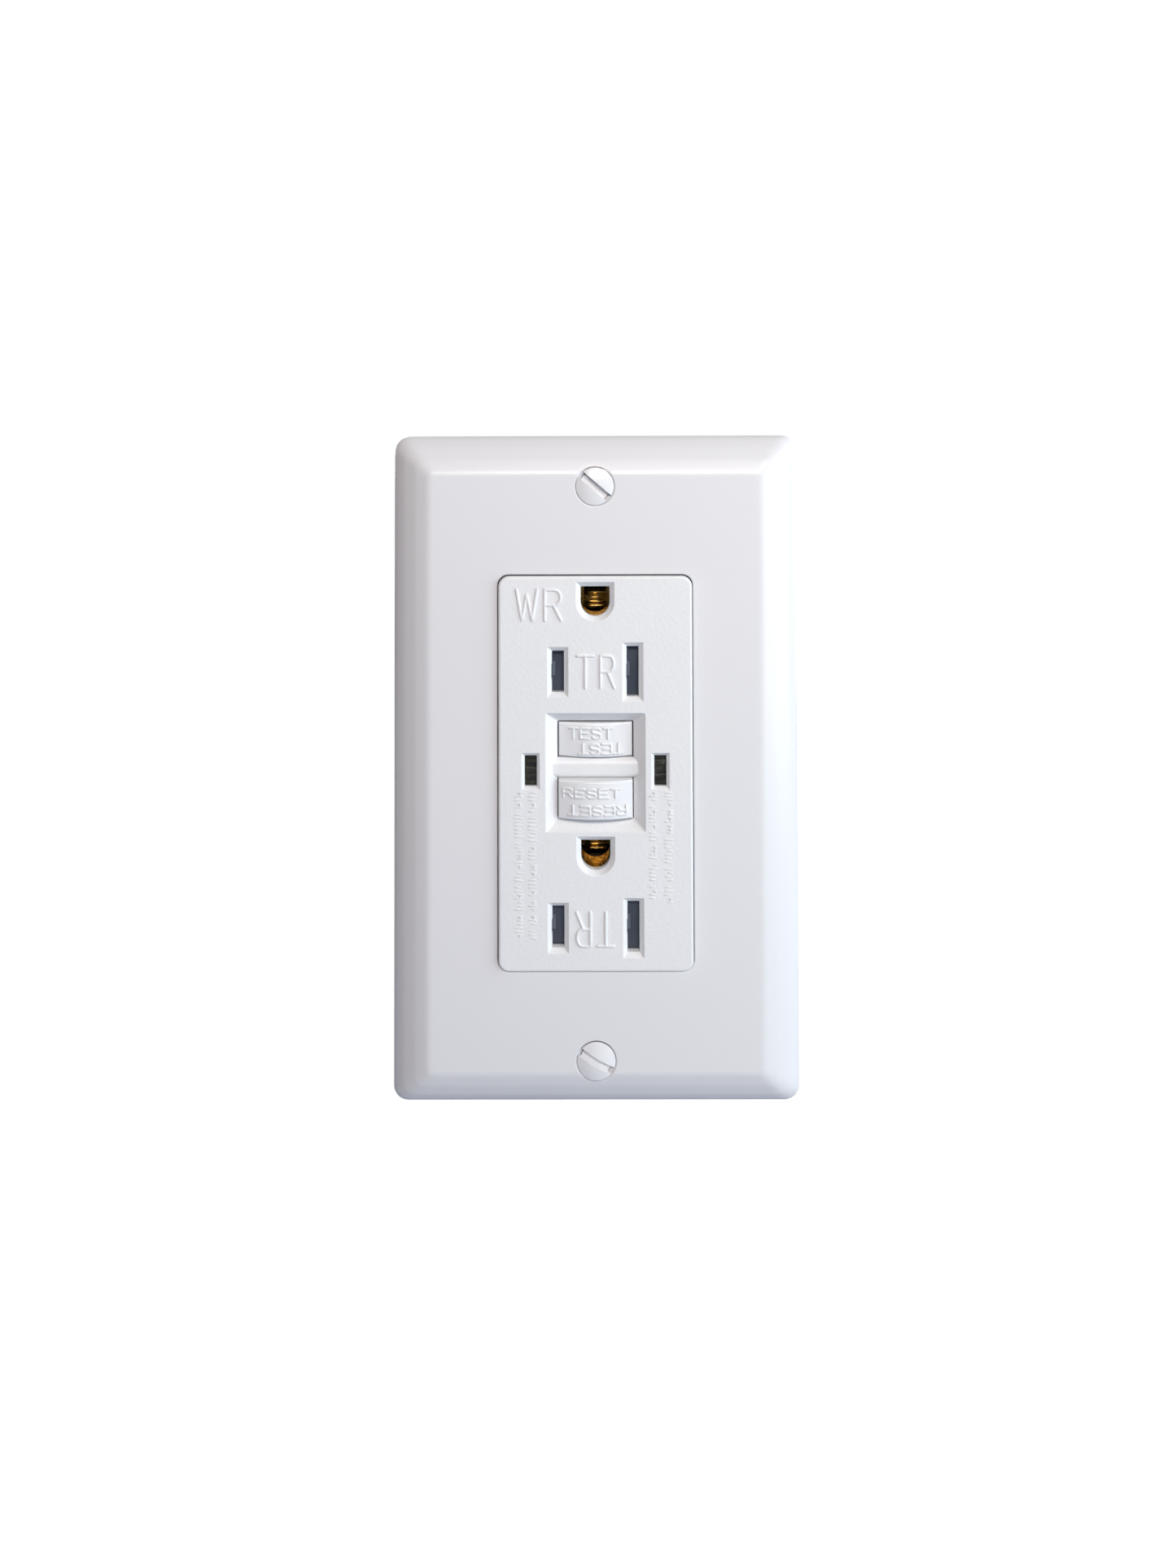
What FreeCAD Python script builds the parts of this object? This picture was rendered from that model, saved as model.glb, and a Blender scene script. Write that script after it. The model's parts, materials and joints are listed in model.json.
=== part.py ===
import FreeCAD, Part
import os
import math

# One-gang ground-fault receptacle with its cover plate, built as it comes apart on a bench.
# Frame: X to the right of someone facing it, +Y into the wall, +Z up.
# Origin: in the wall plane, midway between the two screws that hold it to the wall box.

V = FreeCAD.Vector
doc = FreeCAD.newDocument("gfci_outlet")
sheet = doc.addObject("Spreadsheet::Sheet", "Dimensions")
sheet.Label = "Dimensions"


class E:
    """A number together with the sheet expression that gives it."""

    def __init__(self, v, s):
        self.v, self.s = float(v), s

    def __add__(self, o):
        return E(self.v + val(o), "(%s + %s)" % (self.s, txt(o)))

    def __radd__(self, o):
        return E(val(o) + self.v, "(%s + %s)" % (txt(o), self.s))

    def __sub__(self, o):
        return E(self.v - val(o), "(%s - %s)" % (self.s, txt(o)))

    def __rsub__(self, o):
        return E(val(o) - self.v, "(%s - %s)" % (txt(o), self.s))

    def __mul__(self, o):
        return E(self.v * val(o), "(%s * %s)" % (self.s, txt(o)))

    def __rmul__(self, o):
        return E(self.v * val(o), "(%s * %s)" % (self.s, txt(o)))

    def __truediv__(self, o):
        return E(self.v / val(o), "(%s / %s)" % (self.s, txt(o)))

    def __neg__(self):
        return E(-self.v, "(-1 * %s)" % self.s)


def val(x):
    return x.v if isinstance(x, E) else float(x)


def txt(x):
    return x.s if isinstance(x, E) else repr(float(x))


row = [1]


def cell(name, value, note=""):
    n = row[0]
    row[0] += 1
    sheet.set("A%d" % n, name)
    sheet.set("B%d" % n, repr(float(value)))
    sheet.setAlias("B%d" % n, name)
    if note:
        sheet.set("C%d" % n, note)
    return E(value, "Dimensions.%s" % name)


# ---- driving dimensions, mm ----
plate_w = cell("plate_w", 69.85, "one-gang plate width")
plate_len = cell("plate_len", 114.3, "one-gang plate height")
plate_thk = cell("plate_thk", 5.6, "front of the plate from the wall")
plate_rim = cell("plate_rim", 2.0, "straight side of the rim")
bevel_run = cell("bevel_run", 6.5, "width of the bevel in the plate's plane")
plate_wall = cell("plate_wall", 2.2, "moulded wall")
open_w = cell("open_w", 33.3, "opening width")
open_len = cell("open_len", 66.8, "opening height")
open_rad = cell("open_rad", 1.9)
face_w = cell("face_w", 32.9, "receptacle face width")
face_len = cell("face_len", 66.4, "receptacle face height")
face_front = cell("face_front", -6.4, "front plane of the receptacle face")
face_wall = cell("face_wall", 2.0)
flange_front = cell("flange_front", -2.9)
body_w = cell("body_w", 43.2, "device width")
body_len = cell("body_len", 69.0, "device height")
case_split = cell("case_split", 8.0, "where the cover meets the rear housing")
case_back = cell("case_back", 27.0, "back of the housing from the wall plane")
case_wall = cell("case_wall", 1.5)
strap_thk = cell("strap_thk", 1.2)
ear_half = cell("ear_half", 10.5)
strap_end = cell("strap_end", 53.2)
box_pitch = cell("box_pitch", 83.34, "box screw spacing, 3 9/32 inch")
plate_pitch = cell("plate_pitch", 96.84, "plate screw spacing, 3 13/16 inch")
box_screw_rad = cell("box_screw_rad", 1.75, "No. 6 machine screw")
box_screw_tip = cell("box_screw_tip", 22.0)
plate_screw_rad = cell("plate_screw_rad", 1.7)
blade_off = cell("blade_off", 6.35, "half the blade spacing")
slot_thk = cell("slot_thk", 2.05)
hot_slot = cell("hot_slot", 7.0)
neutral_slot = cell("neutral_slot", 8.5)
upper_blade = cell("upper_blade", 17.05)
lower_blade = cell("lower_blade", -25.85)
upper_pin = cell("upper_pin", 28.85)
lower_pin = cell("lower_pin", -13.95)
pin_rad = cell("pin_rad", 2.47, "ground hole")
recess_z = cell("recess_z", 0.15)
recess_w = cell("recess_w", 16.9)
recess_len = cell("recess_len", 20.0)
window_w = cell("window_w", 13.0)
window_len = cell("window_len", 16.6)
button_half = cell("button_half", 6.3)
test_z = cell("test_z", 5.3)
test_len = cell("test_len", 5.8)
test_front = cell("test_front", -5.5)
reset_z = cell("reset_z", -4.5)
reset_len = cell("reset_len", 6.5)
reset_front = cell("reset_front", -6.9)
crown_rad = cell("crown_rad", 17.0, "radius of the button faces")
lamp_x = cell("lamp_x", 10.97)
lamp_z = cell("lamp_z", 0.35)
lamp_w = cell("lamp_w", 2.06)
lamp_len = cell("lamp_len", 5.2)
coil_y = cell("coil_y", 12.0, "solenoid axis from the wall plane")
plunger_rad = cell("plunger_rad", 1.25)
board_y = cell("board_y", 17.2)
board_thk = cell("board_thk", 1.6)
brass_thk = cell("brass_thk", 0.8)
screw_pos_x = cell("screw_pos_x", 18.2)
screw_pos_z = cell("screw_pos_z", 31.2)
term_y = cell("term_y", 16.5)
term_z = cell("term_z", 16.5)

NODES = {}
problems = []


# ---- helpers for Part primitives ----
def setp(o, prop, x):
    if isinstance(x, E):
        o.setExpression(prop, x.s)
    elif not prop.startswith("Placement"):
        setattr(o, prop, float(x))


def place(o, x, y, z, rot=None):
    o.Placement = FreeCAD.Placement(V(val(x), val(y), val(z)), rot or FreeCAD.Rotation())
    for k, c in (("x", x), ("y", y), ("z", z)):
        if isinstance(c, E):
            o.setExpression("Placement.Base." + k, c.s)


count = [0]


def nm(base):
    count[0] += 1
    return "%s_%03d" % (base, count[0])


def box(x0, x1, y0, y1, z0, z1, name="block"):
    o = doc.addObject("Part::Box", nm(name))
    setp(o, "Length", x1 - x0)
    setp(o, "Width", y1 - y0)
    setp(o, "Height", z1 - z0)
    place(o, x0, y0, z0)
    return o


ROT = {
    "x": FreeCAD.Rotation(V(0, 1, 0), 90),
    "-x": FreeCAD.Rotation(V(0, 1, 0), -90),
    "y": FreeCAD.Rotation(V(1, 0, 0), -90),
    "-y": FreeCAD.Rotation(V(1, 0, 0), 90),
    "z": FreeCAD.Rotation(),
    "-z": FreeCAD.Rotation(V(1, 0, 0), 180),
}


def cyl(axis, x, y, z, r, length, name="round"):
    o = doc.addObject("Part::Cylinder", nm(name))
    setp(o, "Radius", r)
    setp(o, "Height", length)
    place(o, x, y, z, ROT[axis])
    return o


def cone(axis, x, y, z, r0, r1, length, name="taper"):
    o = doc.addObject("Part::Cone", nm(name))
    setp(o, "Radius1", r0)
    setp(o, "Radius2", r1)
    setp(o, "Height", length)
    place(o, x, y, z, ROT[axis])
    return o


def fuse(*objs):
    if len(objs) == 1:
        return objs[0]
    o = doc.addObject("Part::MultiFuse", nm("joined"))
    o.Shapes = list(objs)
    o.Refine = True
    return o


def cut(base, *tools):
    o = doc.addObject("Part::Cut", nm("cut"))
    o.Base = base
    o.Tool = fuse(*tools)
    o.Refine = True
    return o


def common(a, b):
    o = doc.addObject("Part::MultiCommon", nm("common"))
    o.Shapes = [a, b]
    return o


def group(*objs):
    o = doc.addObject("Part::Compound", nm("set"))
    o.Links = list(objs)
    return o


def node(label, o):
    o.Label = label
    NODES[label] = o
    return o


def round_edges(o, r, pick):
    """Part::Fillet on the edges that pick(edge) accepts."""
    doc.recompute()
    f = doc.addObject("Part::Fillet", nm("rounded"))
    f.Base = o
    f.Edges = [(i + 1, r, r) for i, e in enumerate(o.Shape.Edges) if pick(e)]
    doc.recompute()
    if f.Shape.isNull() or not f.Shape.isValid():
        problems.append("round_edges %s" % o.Label)
    return f


def coil(axis, x, y, z, r, wire, length, turns):
    """A round-wire compression spring: r is the mean radius."""
    h = doc.addObject("Part::Helix", nm("helix"))
    h.Radius = val(r)
    h.Height = val(length) - val(wire)
    h.Pitch = h.Height.Value / turns
    c = doc.addObject("Part::Circle", nm("wire"))
    c.Radius = val(wire) / 2
    c.Placement = FreeCAD.Placement(V(val(r), 0, 0), FreeCAD.Rotation(V(1, 0, 0), -90))
    s = doc.addObject("Part::Sweep", nm("coil"))
    s.Sections = [c]
    s.Spine = (h, [])
    s.Solid = True
    s.Frenet = True
    k = {"x": (1, 0, 0), "-x": (-1, 0, 0), "y": (0, 1, 0), "-y": (0, -1, 0), "z": (0, 0, 1), "-z": (0, 0, -1)}[axis]
    w = val(wire) / 2
    s.Placement = FreeCAD.Placement(V(val(x) + k[0] * w, val(y) + k[1] * w, val(z) + k[2] * w), ROT[axis])
    return s


# ---- helpers for PartDesign bodies ----
PLANE = {"y": "XZ_Plane", "z": "XY_Plane", "x": "YZ_Plane"}


class Solid:
    """A body whose sketches lie square to one axis at a stated coordinate."""

    def __init__(self, label):
        self.b = doc.addObject("PartDesign::Body", label + "_body")
        self.label = label
        self.last = None
        self.b.Placement = FreeCAD.Placement(V(0, 0, 0), FreeCAD.Rotation())

    def sketch(self, axis, at):
        s = self.b.newObject("Sketcher::SketchObject", nm("sketch"))
        p = [f for f in self.b.Origin.OriginFeatures if f.Role == PLANE[axis]][0]
        s.AttachmentSupport = [(p, "")]
        s.MapMode = "FlatFace"
        sign = -1 if axis == "y" else 1
        s.AttachmentOffset = FreeCAD.Placement(V(0, 0, sign * val(at)), FreeCAD.Rotation())
        if isinstance(at, E):
            s.setExpression("AttachmentOffset.Base.z", (at * sign).s)
        return s

    def rect(self, axis, at, a0, a1, b0, b1):
        s = self.sketch(axis, at)
        x0, x1, y0, y1 = val(a0), val(a1), val(b0), val(b1)
        pts = [(x0, y0), (x1, y0), (x1, y1), (x0, y1)]
        for i in range(4):
            p, q = pts[i], pts[(i + 1) % 4]
            s.addGeometry(Part.LineSegment(V(p[0], p[1], 0), V(q[0], q[1], 0)), False)
        import Sketcher

        C = Sketcher.Constraint
        cs = [C("Coincident", i, 2, (i + 1) % 4, 1) for i in range(4)]
        cs += [C("Horizontal", 0), C("Vertical", 1), C("Horizontal", 2), C("Vertical", 3)]
        s.addConstraint(cs)
        self.dims(s, 0, (a0, a1, b0, b1), (3, 1, 0, 2))
        return s

    def dims(self, s, first, values, lines):
        import Sketcher

        C = Sketcher.Constraint
        for kind, v, g in zip(("DistanceX", "DistanceX", "DistanceY", "DistanceY"), values, lines):
            i = s.addConstraint(C(kind, -1, 1, g, 1, val(v)))
            if isinstance(v, E):
                s.setExpression("Constraints[%d]" % i, v.s)

    def rrect(self, axis, at, a0, a1, b0, b1, r):
        """Rectangle with four tangent corner arcs."""
        import Sketcher

        C = Sketcher.Constraint
        s = self.sketch(axis, at)
        x0, x1, y0, y1, q = val(a0), val(a1), val(b0), val(b1), val(r)
        line = lambda p, u: s.addGeometry(Part.LineSegment(V(p[0], p[1], 0), V(u[0], u[1], 0)), False)

        def arc(cx, cy, a):
            c = Part.Circle(V(cx, cy, 0), V(0, 0, 1), q)
            s.addGeometry(Part.ArcOfCircle(c, math.radians(a), math.radians(a + 90)), False)

        line((x0 + q, y0), (x1 - q, y0))
        arc(x1 - q, y0 + q, 270)
        line((x1, y0 + q), (x1, y1 - q))
        arc(x1 - q, y1 - q, 0)
        line((x1 - q, y1), (x0 + q, y1))
        arc(x0 + q, y1 - q, 90)
        line((x0, y1 - q), (x0, y0 + q))
        arc(x0 + q, y0 + q, 180)
        cs = [C("Tangent", i, 2, (i + 1) % 8, 1) for i in range(8)]
        cs += [C("Horizontal", 0), C("Vertical", 2), C("Horizontal", 4), C("Vertical", 6)]
        cs += [C("Equal", 1, 3), C("Equal", 3, 5), C("Equal", 5, 7)]
        s.addConstraint(cs)
        i = s.addConstraint(C("Radius", 1, q))
        if isinstance(r, E):
            s.setExpression("Constraints[%d]" % i, r.s)
        self.dims(s, 0, (a0, a1, b0, b1), (6, 2, 0, 4))
        return s

    def circ(self, axis, at, a, b, r):
        import Sketcher

        C = Sketcher.Constraint
        s = self.sketch(axis, at)
        s.addGeometry(Part.Circle(V(val(a), val(b), 0), V(0, 0, 1), val(r)), False)
        for kind, v, p in (("DistanceX", a, 3), ("DistanceY", b, 3)):
            i = s.addConstraint(C(kind, -1, 1, 0, p, val(v)))
            if isinstance(v, E):
                s.setExpression("Constraints[%d]" % i, v.s)
        i = s.addConstraint(C("Radius", 0, val(r)))
        if isinstance(r, E):
            s.setExpression("Constraints[%d]" % i, r.s)
        return s

    def feature(self, kind, s, axis, at, to):
        f = self.b.newObject("PartDesign::" + kind, nm(kind.lower()))
        f.Profile = s
        d = val(to) - val(at)
        length = (to - at) if d > 0 else (at - to)
        if isinstance(length, E):
            f.setExpression("Length", length.s)
        else:
            f.Length = length
        forward = d > 0 if axis != "y" else d < 0
        f.Reversed = (not forward) if kind == "Pad" else forward
        self.last = f
        return f

    def pad(self, axis, at, to, *a):
        return self.feature("Pad", self.rect(axis, at, *a), axis, at, to)

    def rpad(self, axis, at, to, *a):
        return self.feature("Pad", self.rrect(axis, at, *a), axis, at, to)

    def cpad(self, axis, at, to, *a):
        return self.feature("Pad", self.circ(axis, at, *a), axis, at, to)

    def pocket(self, axis, at, to, *a):
        return self.feature("Pocket", self.rect(axis, at, *a), axis, at, to)

    def rpocket(self, axis, at, to, *a):
        return self.feature("Pocket", self.rrect(axis, at, *a), axis, at, to)

    def cpocket(self, axis, at, to, *a):
        return self.feature("Pocket", self.circ(axis, at, *a), axis, at, to)

    def loft(self, kind, first, second):
        f = self.b.newObject("PartDesign::" + kind, nm(kind.lower()))
        f.Profile = first
        f.Sections = [second]
        f.Ruled = True
        self.last = f
        return f

    def fillet(self, r, pick, kind="Fillet"):
        doc.recompute()
        base = self.last
        names = ["Edge%d" % (i + 1) for i, e in enumerate(base.Shape.Edges) if pick(e)]
        f = self.b.newObject("PartDesign::" + kind, nm(kind.lower()))
        f.Base = (base, names)
        if kind == "Fillet":
            if isinstance(r, E):
                f.setExpression("Radius", r.s)
            else:
                f.Radius = r
        else:
            f.Size = r
        doc.recompute()
        if f.Shape.isNull() or not f.Shape.isValid() or not names:
            problems.append("%s %s r %s edges %d" % (kind, self.label, val(r), len(names)))
        self.last = f
        return f

    def done(self):
        doc.recompute()
        prev = None
        for f in self.b.Group:
            t = f.TypeId
            if t.startswith("PartDesign::") and f.Shape.isNull():
                problems.append("%s %s has no shape: %s" % (self.label, f.Label, f.State))
                continue
            if t in ("PartDesign::Pad", "PartDesign::AdditiveLoft"):
                if prev is not None and f.Shape.Volume <= prev + 1e-6:
                    problems.append("%s %s added nothing" % (self.label, f.Label))
                prev = f.Shape.Volume
            elif t in ("PartDesign::Pocket", "PartDesign::SubtractiveLoft"):
                if f.Shape.Volume >= prev - 1e-6:
                    problems.append("%s %s cut nothing" % (self.label, f.Label))
                prev = f.Shape.Volume
            elif t.startswith("PartDesign::"):
                prev = f.Shape.Volume
        return node(self.label, self.b)


def at_y(e, y, tol=0.02):
    return all(abs(v.Point.y - val(y)) < tol for v in e.Vertexes) and abs(e.CenterOfMass.y - val(y)) < tol


# ---- wall plate: bevelled cover plate, hollow behind ----
hw, hl = plate_w / 2, plate_len / 2
rim = -plate_rim
front = -plate_thk
p = Solid("wall_plate")
p.rpad("y", 0.0, rim, -hw, hw, -hl, hl, 2.4)
# the bevel is gently rounded: three runs, each flatter than the one outside it
steps = [(0.0, rim, 2.4), (bevel_run * 0.31, front + 2.0, 2.0), (bevel_run * 0.64, front + 0.85, 1.5), (bevel_run, front, 0.9)]
for (i0, y0, c0), (i1, y1, c1) in zip(steps, steps[1:]):
    p.loft(
        "AdditiveLoft",
        p.rrect("y", y0, -hw + i0, hw - i0, -hl + i0, hl - i0, c0),
        p.rrect("y", y1, -hw + i1, hw - i1, -hl + i1, hl - i1, c1),
    )
inner = front + plate_wall
p.loft(
    "SubtractiveLoft",
    p.rrect("y", 0.0, -hw + 1.9, hw - 1.9, -hl + 1.9, hl - 1.9, 1.6),
    p.rrect("y", inner, -hw + bevel_run + 0.6, hw - bevel_run - 0.6, -hl + bevel_run + 0.6, hl - bevel_run - 0.6, 0.8),
)
for sgn in (1, -1):
    zc = plate_pitch / 2 * sgn
    p.cpad("y", inner, -1.5, 0.0, zc, 3.3)
p.rpocket("y", front, 0.0, -open_w / 2, open_w / 2, -open_len / 2, open_len / 2, open_rad)
for sgn in (1, -1):
    zc = plate_pitch / 2 * sgn
    p.loft("SubtractiveLoft", p.circ("y", front, 0.0, zc, 3.47), p.circ("y", front + 1.7, 0.0, zc, 1.95))
    p.cpocket("y", front, 0.0, 0.0, zc, 1.95)
fl, fw = val(hl) - val(bevel_run), val(hw) - val(bevel_run)
p.fillet(
    2.4,
    lambda e: at_y(e, front)
    and (abs(abs(e.CenterOfMass.z) - fl) < 0.5 or abs(abs(e.CenterOfMass.x) - fw) < 0.5),
)
p.fillet(
    1.6,
    lambda e: at_y(e, rim)
    and (abs(abs(e.CenterOfMass.z) - val(hl)) < 1.2 or abs(abs(e.CenterOfMass.x) - val(hw)) < 1.2),
)
p.fillet(
    0.35,
    lambda e: at_y(e, front)
    and abs(e.CenterOfMass.x) < val(open_w) / 2 + 0.1
    and abs(e.CenterOfMass.z) < val(open_len) / 2 + 0.1,
)
p.done()

# ---- plate screws: oval-head slotted, into the strap ears ----
screws = []
for sgn, tilt in ((1, -40.7), (-1, -30.2)):
    zc = plate_pitch / 2 * sgn
    seat = cone("y", 0.0, front, zc, 3.25, 1.6, 1.65)
    shank = cyl("y", 0.0, front + 1.5, zc, plate_screw_rad, 9.0)
    ball = doc.addObject("Part::Sphere", nm("dome"))
    ball.Radius = 9.0
    place(ball, 0.0, front + 8.40, zc)
    cap = common(ball, cyl("-y", 0.0, front, zc, 3.25, 1.0))
    body = fuse(seat, shank, cap)
    slot = doc.addObject("Part::Box", nm("driver_slot"))
    slot.Length, slot.Width, slot.Height = 9.0, 1.35, 1.25
    rot = FreeCAD.Rotation(V(0, 1, 0), -tilt)
    off = rot.multVec(V(-4.5, 0, -0.625))
    slot.Placement = FreeCAD.Placement(V(off.x, val(front) - 0.75 + off.y, val(zc) + off.z), rot)
    screws.append(cut(body, slot))
node("plate_screws", group(*screws))

# ---- face cover: receptacle face, button recess, skirt ----
f = Solid("face_cover")
fx, fz = face_w / 2, face_len / 2
bx, bz = body_w / 2, body_len / 2
inner_face = face_front + face_wall
f.rpad("y", case_split, flange_front, -bx, bx, -bz, bz, 2.0)
f.rpad("y", flange_front, face_front, -fx, fx, -fz, fz, 1.8)
# inside, behind the strap plane
f.rpocket("y", case_split, -1.35, -bx + 1.6, bx - 1.6, -bz + 1.6, bz - 1.6, 1.0)
# room for the shutters behind the face
f.rpocket("y", -1.35, inner_face, -14.6, 14.6, 10.9, 31.7, 0.3)
f.rpocket("y", -1.35, inner_face, -14.6, 14.6, -31.95, -10.1, 0.3)
# button recess with sloping sides, and the window behind it
f.loft(
    "SubtractiveLoft",
    f.rrect("y", face_front, -recess_w / 2, recess_w / 2, recess_z - recess_len / 2, recess_z + recess_len / 2, 0.3),
    f.rrect("y", inner_face, -window_w / 2, window_w / 2, recess_z - window_len / 2, recess_z + window_len / 2, 0.3),
)
f.rpocket("y", face_front, -1.35, -window_w / 2, window_w / 2, recess_z - window_len / 2, recess_z + window_len / 2, 0.3)
# ridge between the two buttons
f.rpad("x", -7.28, 7.28, face_front + 1.2, -2.0, -1.25, 2.2, 1.2)
# ground-pin holes, flat above and round below
for zc in (upper_pin, lower_pin):
    f.cpocket("y", face_front, -1.35, 0.0, zc, pin_rad)
    f.pocket("y", face_front, -1.35, -pin_rad, pin_rad, zc, zc + 2.6)
    f.loft("SubtractiveLoft", f.circ("y", face_front, 0.0, zc, pin_rad + 0.8), f.circ("y", face_front + 0.8, 0.0, zc, pin_rad))
    f.loft(
        "SubtractiveLoft",
        f.rect("y", face_front, -pin_rad - 0.8, pin_rad + 0.8, zc, zc + 3.4),
        f.rect("y", face_front + 0.8, -pin_rad, pin_rad, zc, zc + 2.6),
    )
# blade slots, each with a chamfer and the small relief in its left wall
for zc in (upper_blade, lower_blade):
    for side, tall in ((-1, hot_slot), (1, neutral_slot)):
        xc = blade_off * side
        f.pocket("y", face_front, inner_face, xc - slot_thk / 2, xc + slot_thk / 2, zc - tall / 2, zc + tall / 2)
        f.loft(
            "SubtractiveLoft",
            f.rect("y", face_front, xc - slot_thk / 2 - 0.75, xc + slot_thk / 2 + 0.75, zc - tall / 2 - 0.75, zc + tall / 2 + 0.75),
            f.rect("y", face_front + 0.75, xc - slot_thk / 2, xc + slot_thk / 2, zc - tall / 2, zc + tall / 2),
        )
        f.pocket("y", face_front + 0.7, inner_face, xc - slot_thk / 2 - 0.4, xc, zc - 1.25, zc + 1.25)
# lamp windows
for side in (-1, 1):
    xc = lamp_x * side
    f.pocket("y", face_front, -1.35, xc - lamp_w / 2, xc + lamp_w / 2, lamp_z - lamp_len / 2, lamp_z + lamp_len / 2)
    f.loft(
        "SubtractiveLoft",
        f.rect("y", face_front, xc - lamp_w / 2 - 0.5, xc + lamp_w / 2 + 0.5, lamp_z - lamp_len / 2 - 0.5, lamp_z + lamp_len / 2 + 0.5),
        f.rect("y", face_front + 0.5, xc - lamp_w / 2, xc + lamp_w / 2, lamp_z - lamp_len / 2, lamp_z + lamp_len / 2),
    )
# strap passes out through both end walls
f.pocket("z", -36.0, 36.0, -ear_half - 0.2, ear_half + 0.2, -1.35, 0.15)
# corner bosses for the case screws
for sx in (-1, 1):
    for sz in (-1, 1):
        f.cpad("y", -1.4, case_split, screw_pos_x * sx, screw_pos_z * sz, 2.6)
for sx in (-1, 1):
    for sz in (-1, 1):
        f.cpocket("y", case_split, 0.0, screw_pos_x * sx, screw_pos_z * sz, 1.28)
# ground screw passes the lower end wall
f.cpocket("z", -36.0, -32.0, 9.0, 4.4, 2.3)
f.fillet(0.45, lambda e: at_y(e, face_front) and (abs(e.CenterOfMass.x) > val(fx) - 0.5 or abs(e.CenterOfMass.z) > val(fz) - 0.3))
f.done()

# ---- buttons ----


def button(zc, tall, front_y, flange_y, stem_end, stem_r):
    r = crown_rad
    blank = box(-button_half, button_half, front_y, flange_y, zc - tall / 2, zc + tall / 2, "cap")
    crown = cyl("z", 0.0, front_y + r, zc - tall / 2 - 1, r, tall + 2, "crown")
    # the crown reaches back past the whole cap
    face = common(blank, crown)
    doc.recompute()
    face = round_edges(
        face,
        0.4,
        lambda e: (not at_y(e, flange_y))
        and e.BoundBox.YMax < val(flange_y) - 0.3
        and (e.BoundBox.XLength > 5 or e.BoundBox.ZLength > 4),
    )
    flange = box(-7.4, 7.4, flange_y, flange_y + 1.1, zc - tall / 2 - 0.5, zc + tall / 2 + 0.5, "flange")
    return face, flange


face, flange = button(test_z, test_len, test_front, E(-1.25, "(-1.25)"), 6.0, 1.2)
stem = cyl("y", 0.0, -0.3, test_z, 1.25, 6.3, "stem")
node("test_button", fuse(face, flange, stem))

face, flange = button(reset_z, reset_len, reset_front, E(0.2, "(0.2)"), 6.0, 1.2)
hole = cyl("y", 0.0, -3.0, reset_z, 1.15, 6.0, "pin_seat")
node("reset_button", cut(fuse(face, flange), hole))

# reset pin: seats in the reset button, with a long neck that the latch plate grips
pin = fuse(
    cyl("y", 0.0, -3.0, reset_z, 1.15, 12.8),
    cyl("y", 0.0, 9.8, reset_z, 0.8, 5.4),
    cyl("y", 0.0, 15.1, reset_z, 1.15, 0.5),
    cone("y", 0.0, 15.6, reset_z, 1.15, 0.7, 0.6),
)
node("reset_pin", pin)

node("test_spring", coil("y", 0.0, -0.12, test_z, 1.95, 0.4, 5.1, 4.5))
node("reset_spring", coil("y", 0.0, 1.33, reset_z, 2.2, 0.42, 3.64, 4))

# ---- light pipes and lamps ----
pipes = {}
for side, name in ((-1, "left_light_pipe"), (1, "right_light_pipe")):
    xc = lamp_x * side
    bar = box(xc - 0.95, xc + 0.95, -5.3, 6.0, lamp_z - 2.5, lamp_z + 2.5, "bar")
    foot = box(xc - 1.2, xc + 1.2, 5.6, 7.2, lamp_z - 2.5, lamp_z + 2.5, "foot")
    ribs = [box(xc - 1.0, xc + 1.0, -5.31, -5.0, lamp_z + k, lamp_z + k + 0.5, "rib") for k in (-2.0, -0.9, 0.3, 1.5)]
    node(name, cut(fuse(bar, foot), *ribs))
leds = []
for side in (-1, 1):
    xc = lamp_x * side
    dome = fuse(cyl("y", xc, 8.2, lamp_z, 1.5, 1.9, "lamp"), cone("y", xc, 7.35, lamp_z, 0.9, 1.5, 0.85), cyl("y", xc, 10.1, lamp_z, 1.75, 0.6))
    legs = [cyl("y", xc, 10.5, lamp_z + k, 0.25, board_y - 10.5, "leg") for k in (-0.6, 0.6)]
    leds.append(fuse(dome, *legs))
node("indicator_lamps", group(*leds))

# ---- strap ----
s = Solid("mounting_strap")
back = 0.0
s.pad("y", back, -strap_thk, -4.1, 4.1, -34.0, 34.0)
for sgn in (1, -1):
    lo, hi = (34.0, strap_end) if sgn > 0 else (-strap_end, -34.0)
    s.pad("y", back, -strap_thk, -ear_half, ear_half, lo, hi)
s.pad("y", back, -strap_thk, -9.3, 9.3, -10.6, 11.2)
s.pad("y", back, -strap_thk, -5.6, 5.6, upper_pin - 4.5, 34.5)
s.pad("y", back, -strap_thk, -5.6, 5.6, lower_pin - 4.5, -10.0)
s.pocket("y", back, -strap_thk, -8.3, 8.3, -9.4, 10.0)
for sgn in (1, -1):
    zc = box_pitch / 2 * sgn
    s.rpocket("y", back, -strap_thk, -3.4, 3.4, zc - 2.05, zc + 2.05, 2.0)
    s.cpocket("y", back, -strap_thk, 0.0, plate_pitch / 2 * sgn, 1.75)
for zc in (upper_pin, lower_pin):
    s.cpocket("y", back, -strap_thk, 0.0, zc, 3.0)
for sx in (-1, 1):
    for zc in (upper_pin, lower_pin):
        s.cpocket("y", back, -strap_thk, 4.5 * sx, zc - 2.6, 0.62)
# break-off plaster ear notches
for sx in (-1, 1):
    for sz in (-1, 1):
        a, b = (9.7, 10.6) if sx > 0 else (-10.6, -9.7)
        c, d = (45.6, 46.6) if sz > 0 else (-46.6, -45.6)
        s.pocket("y", back, -strap_thk, a, b, c, d)
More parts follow.
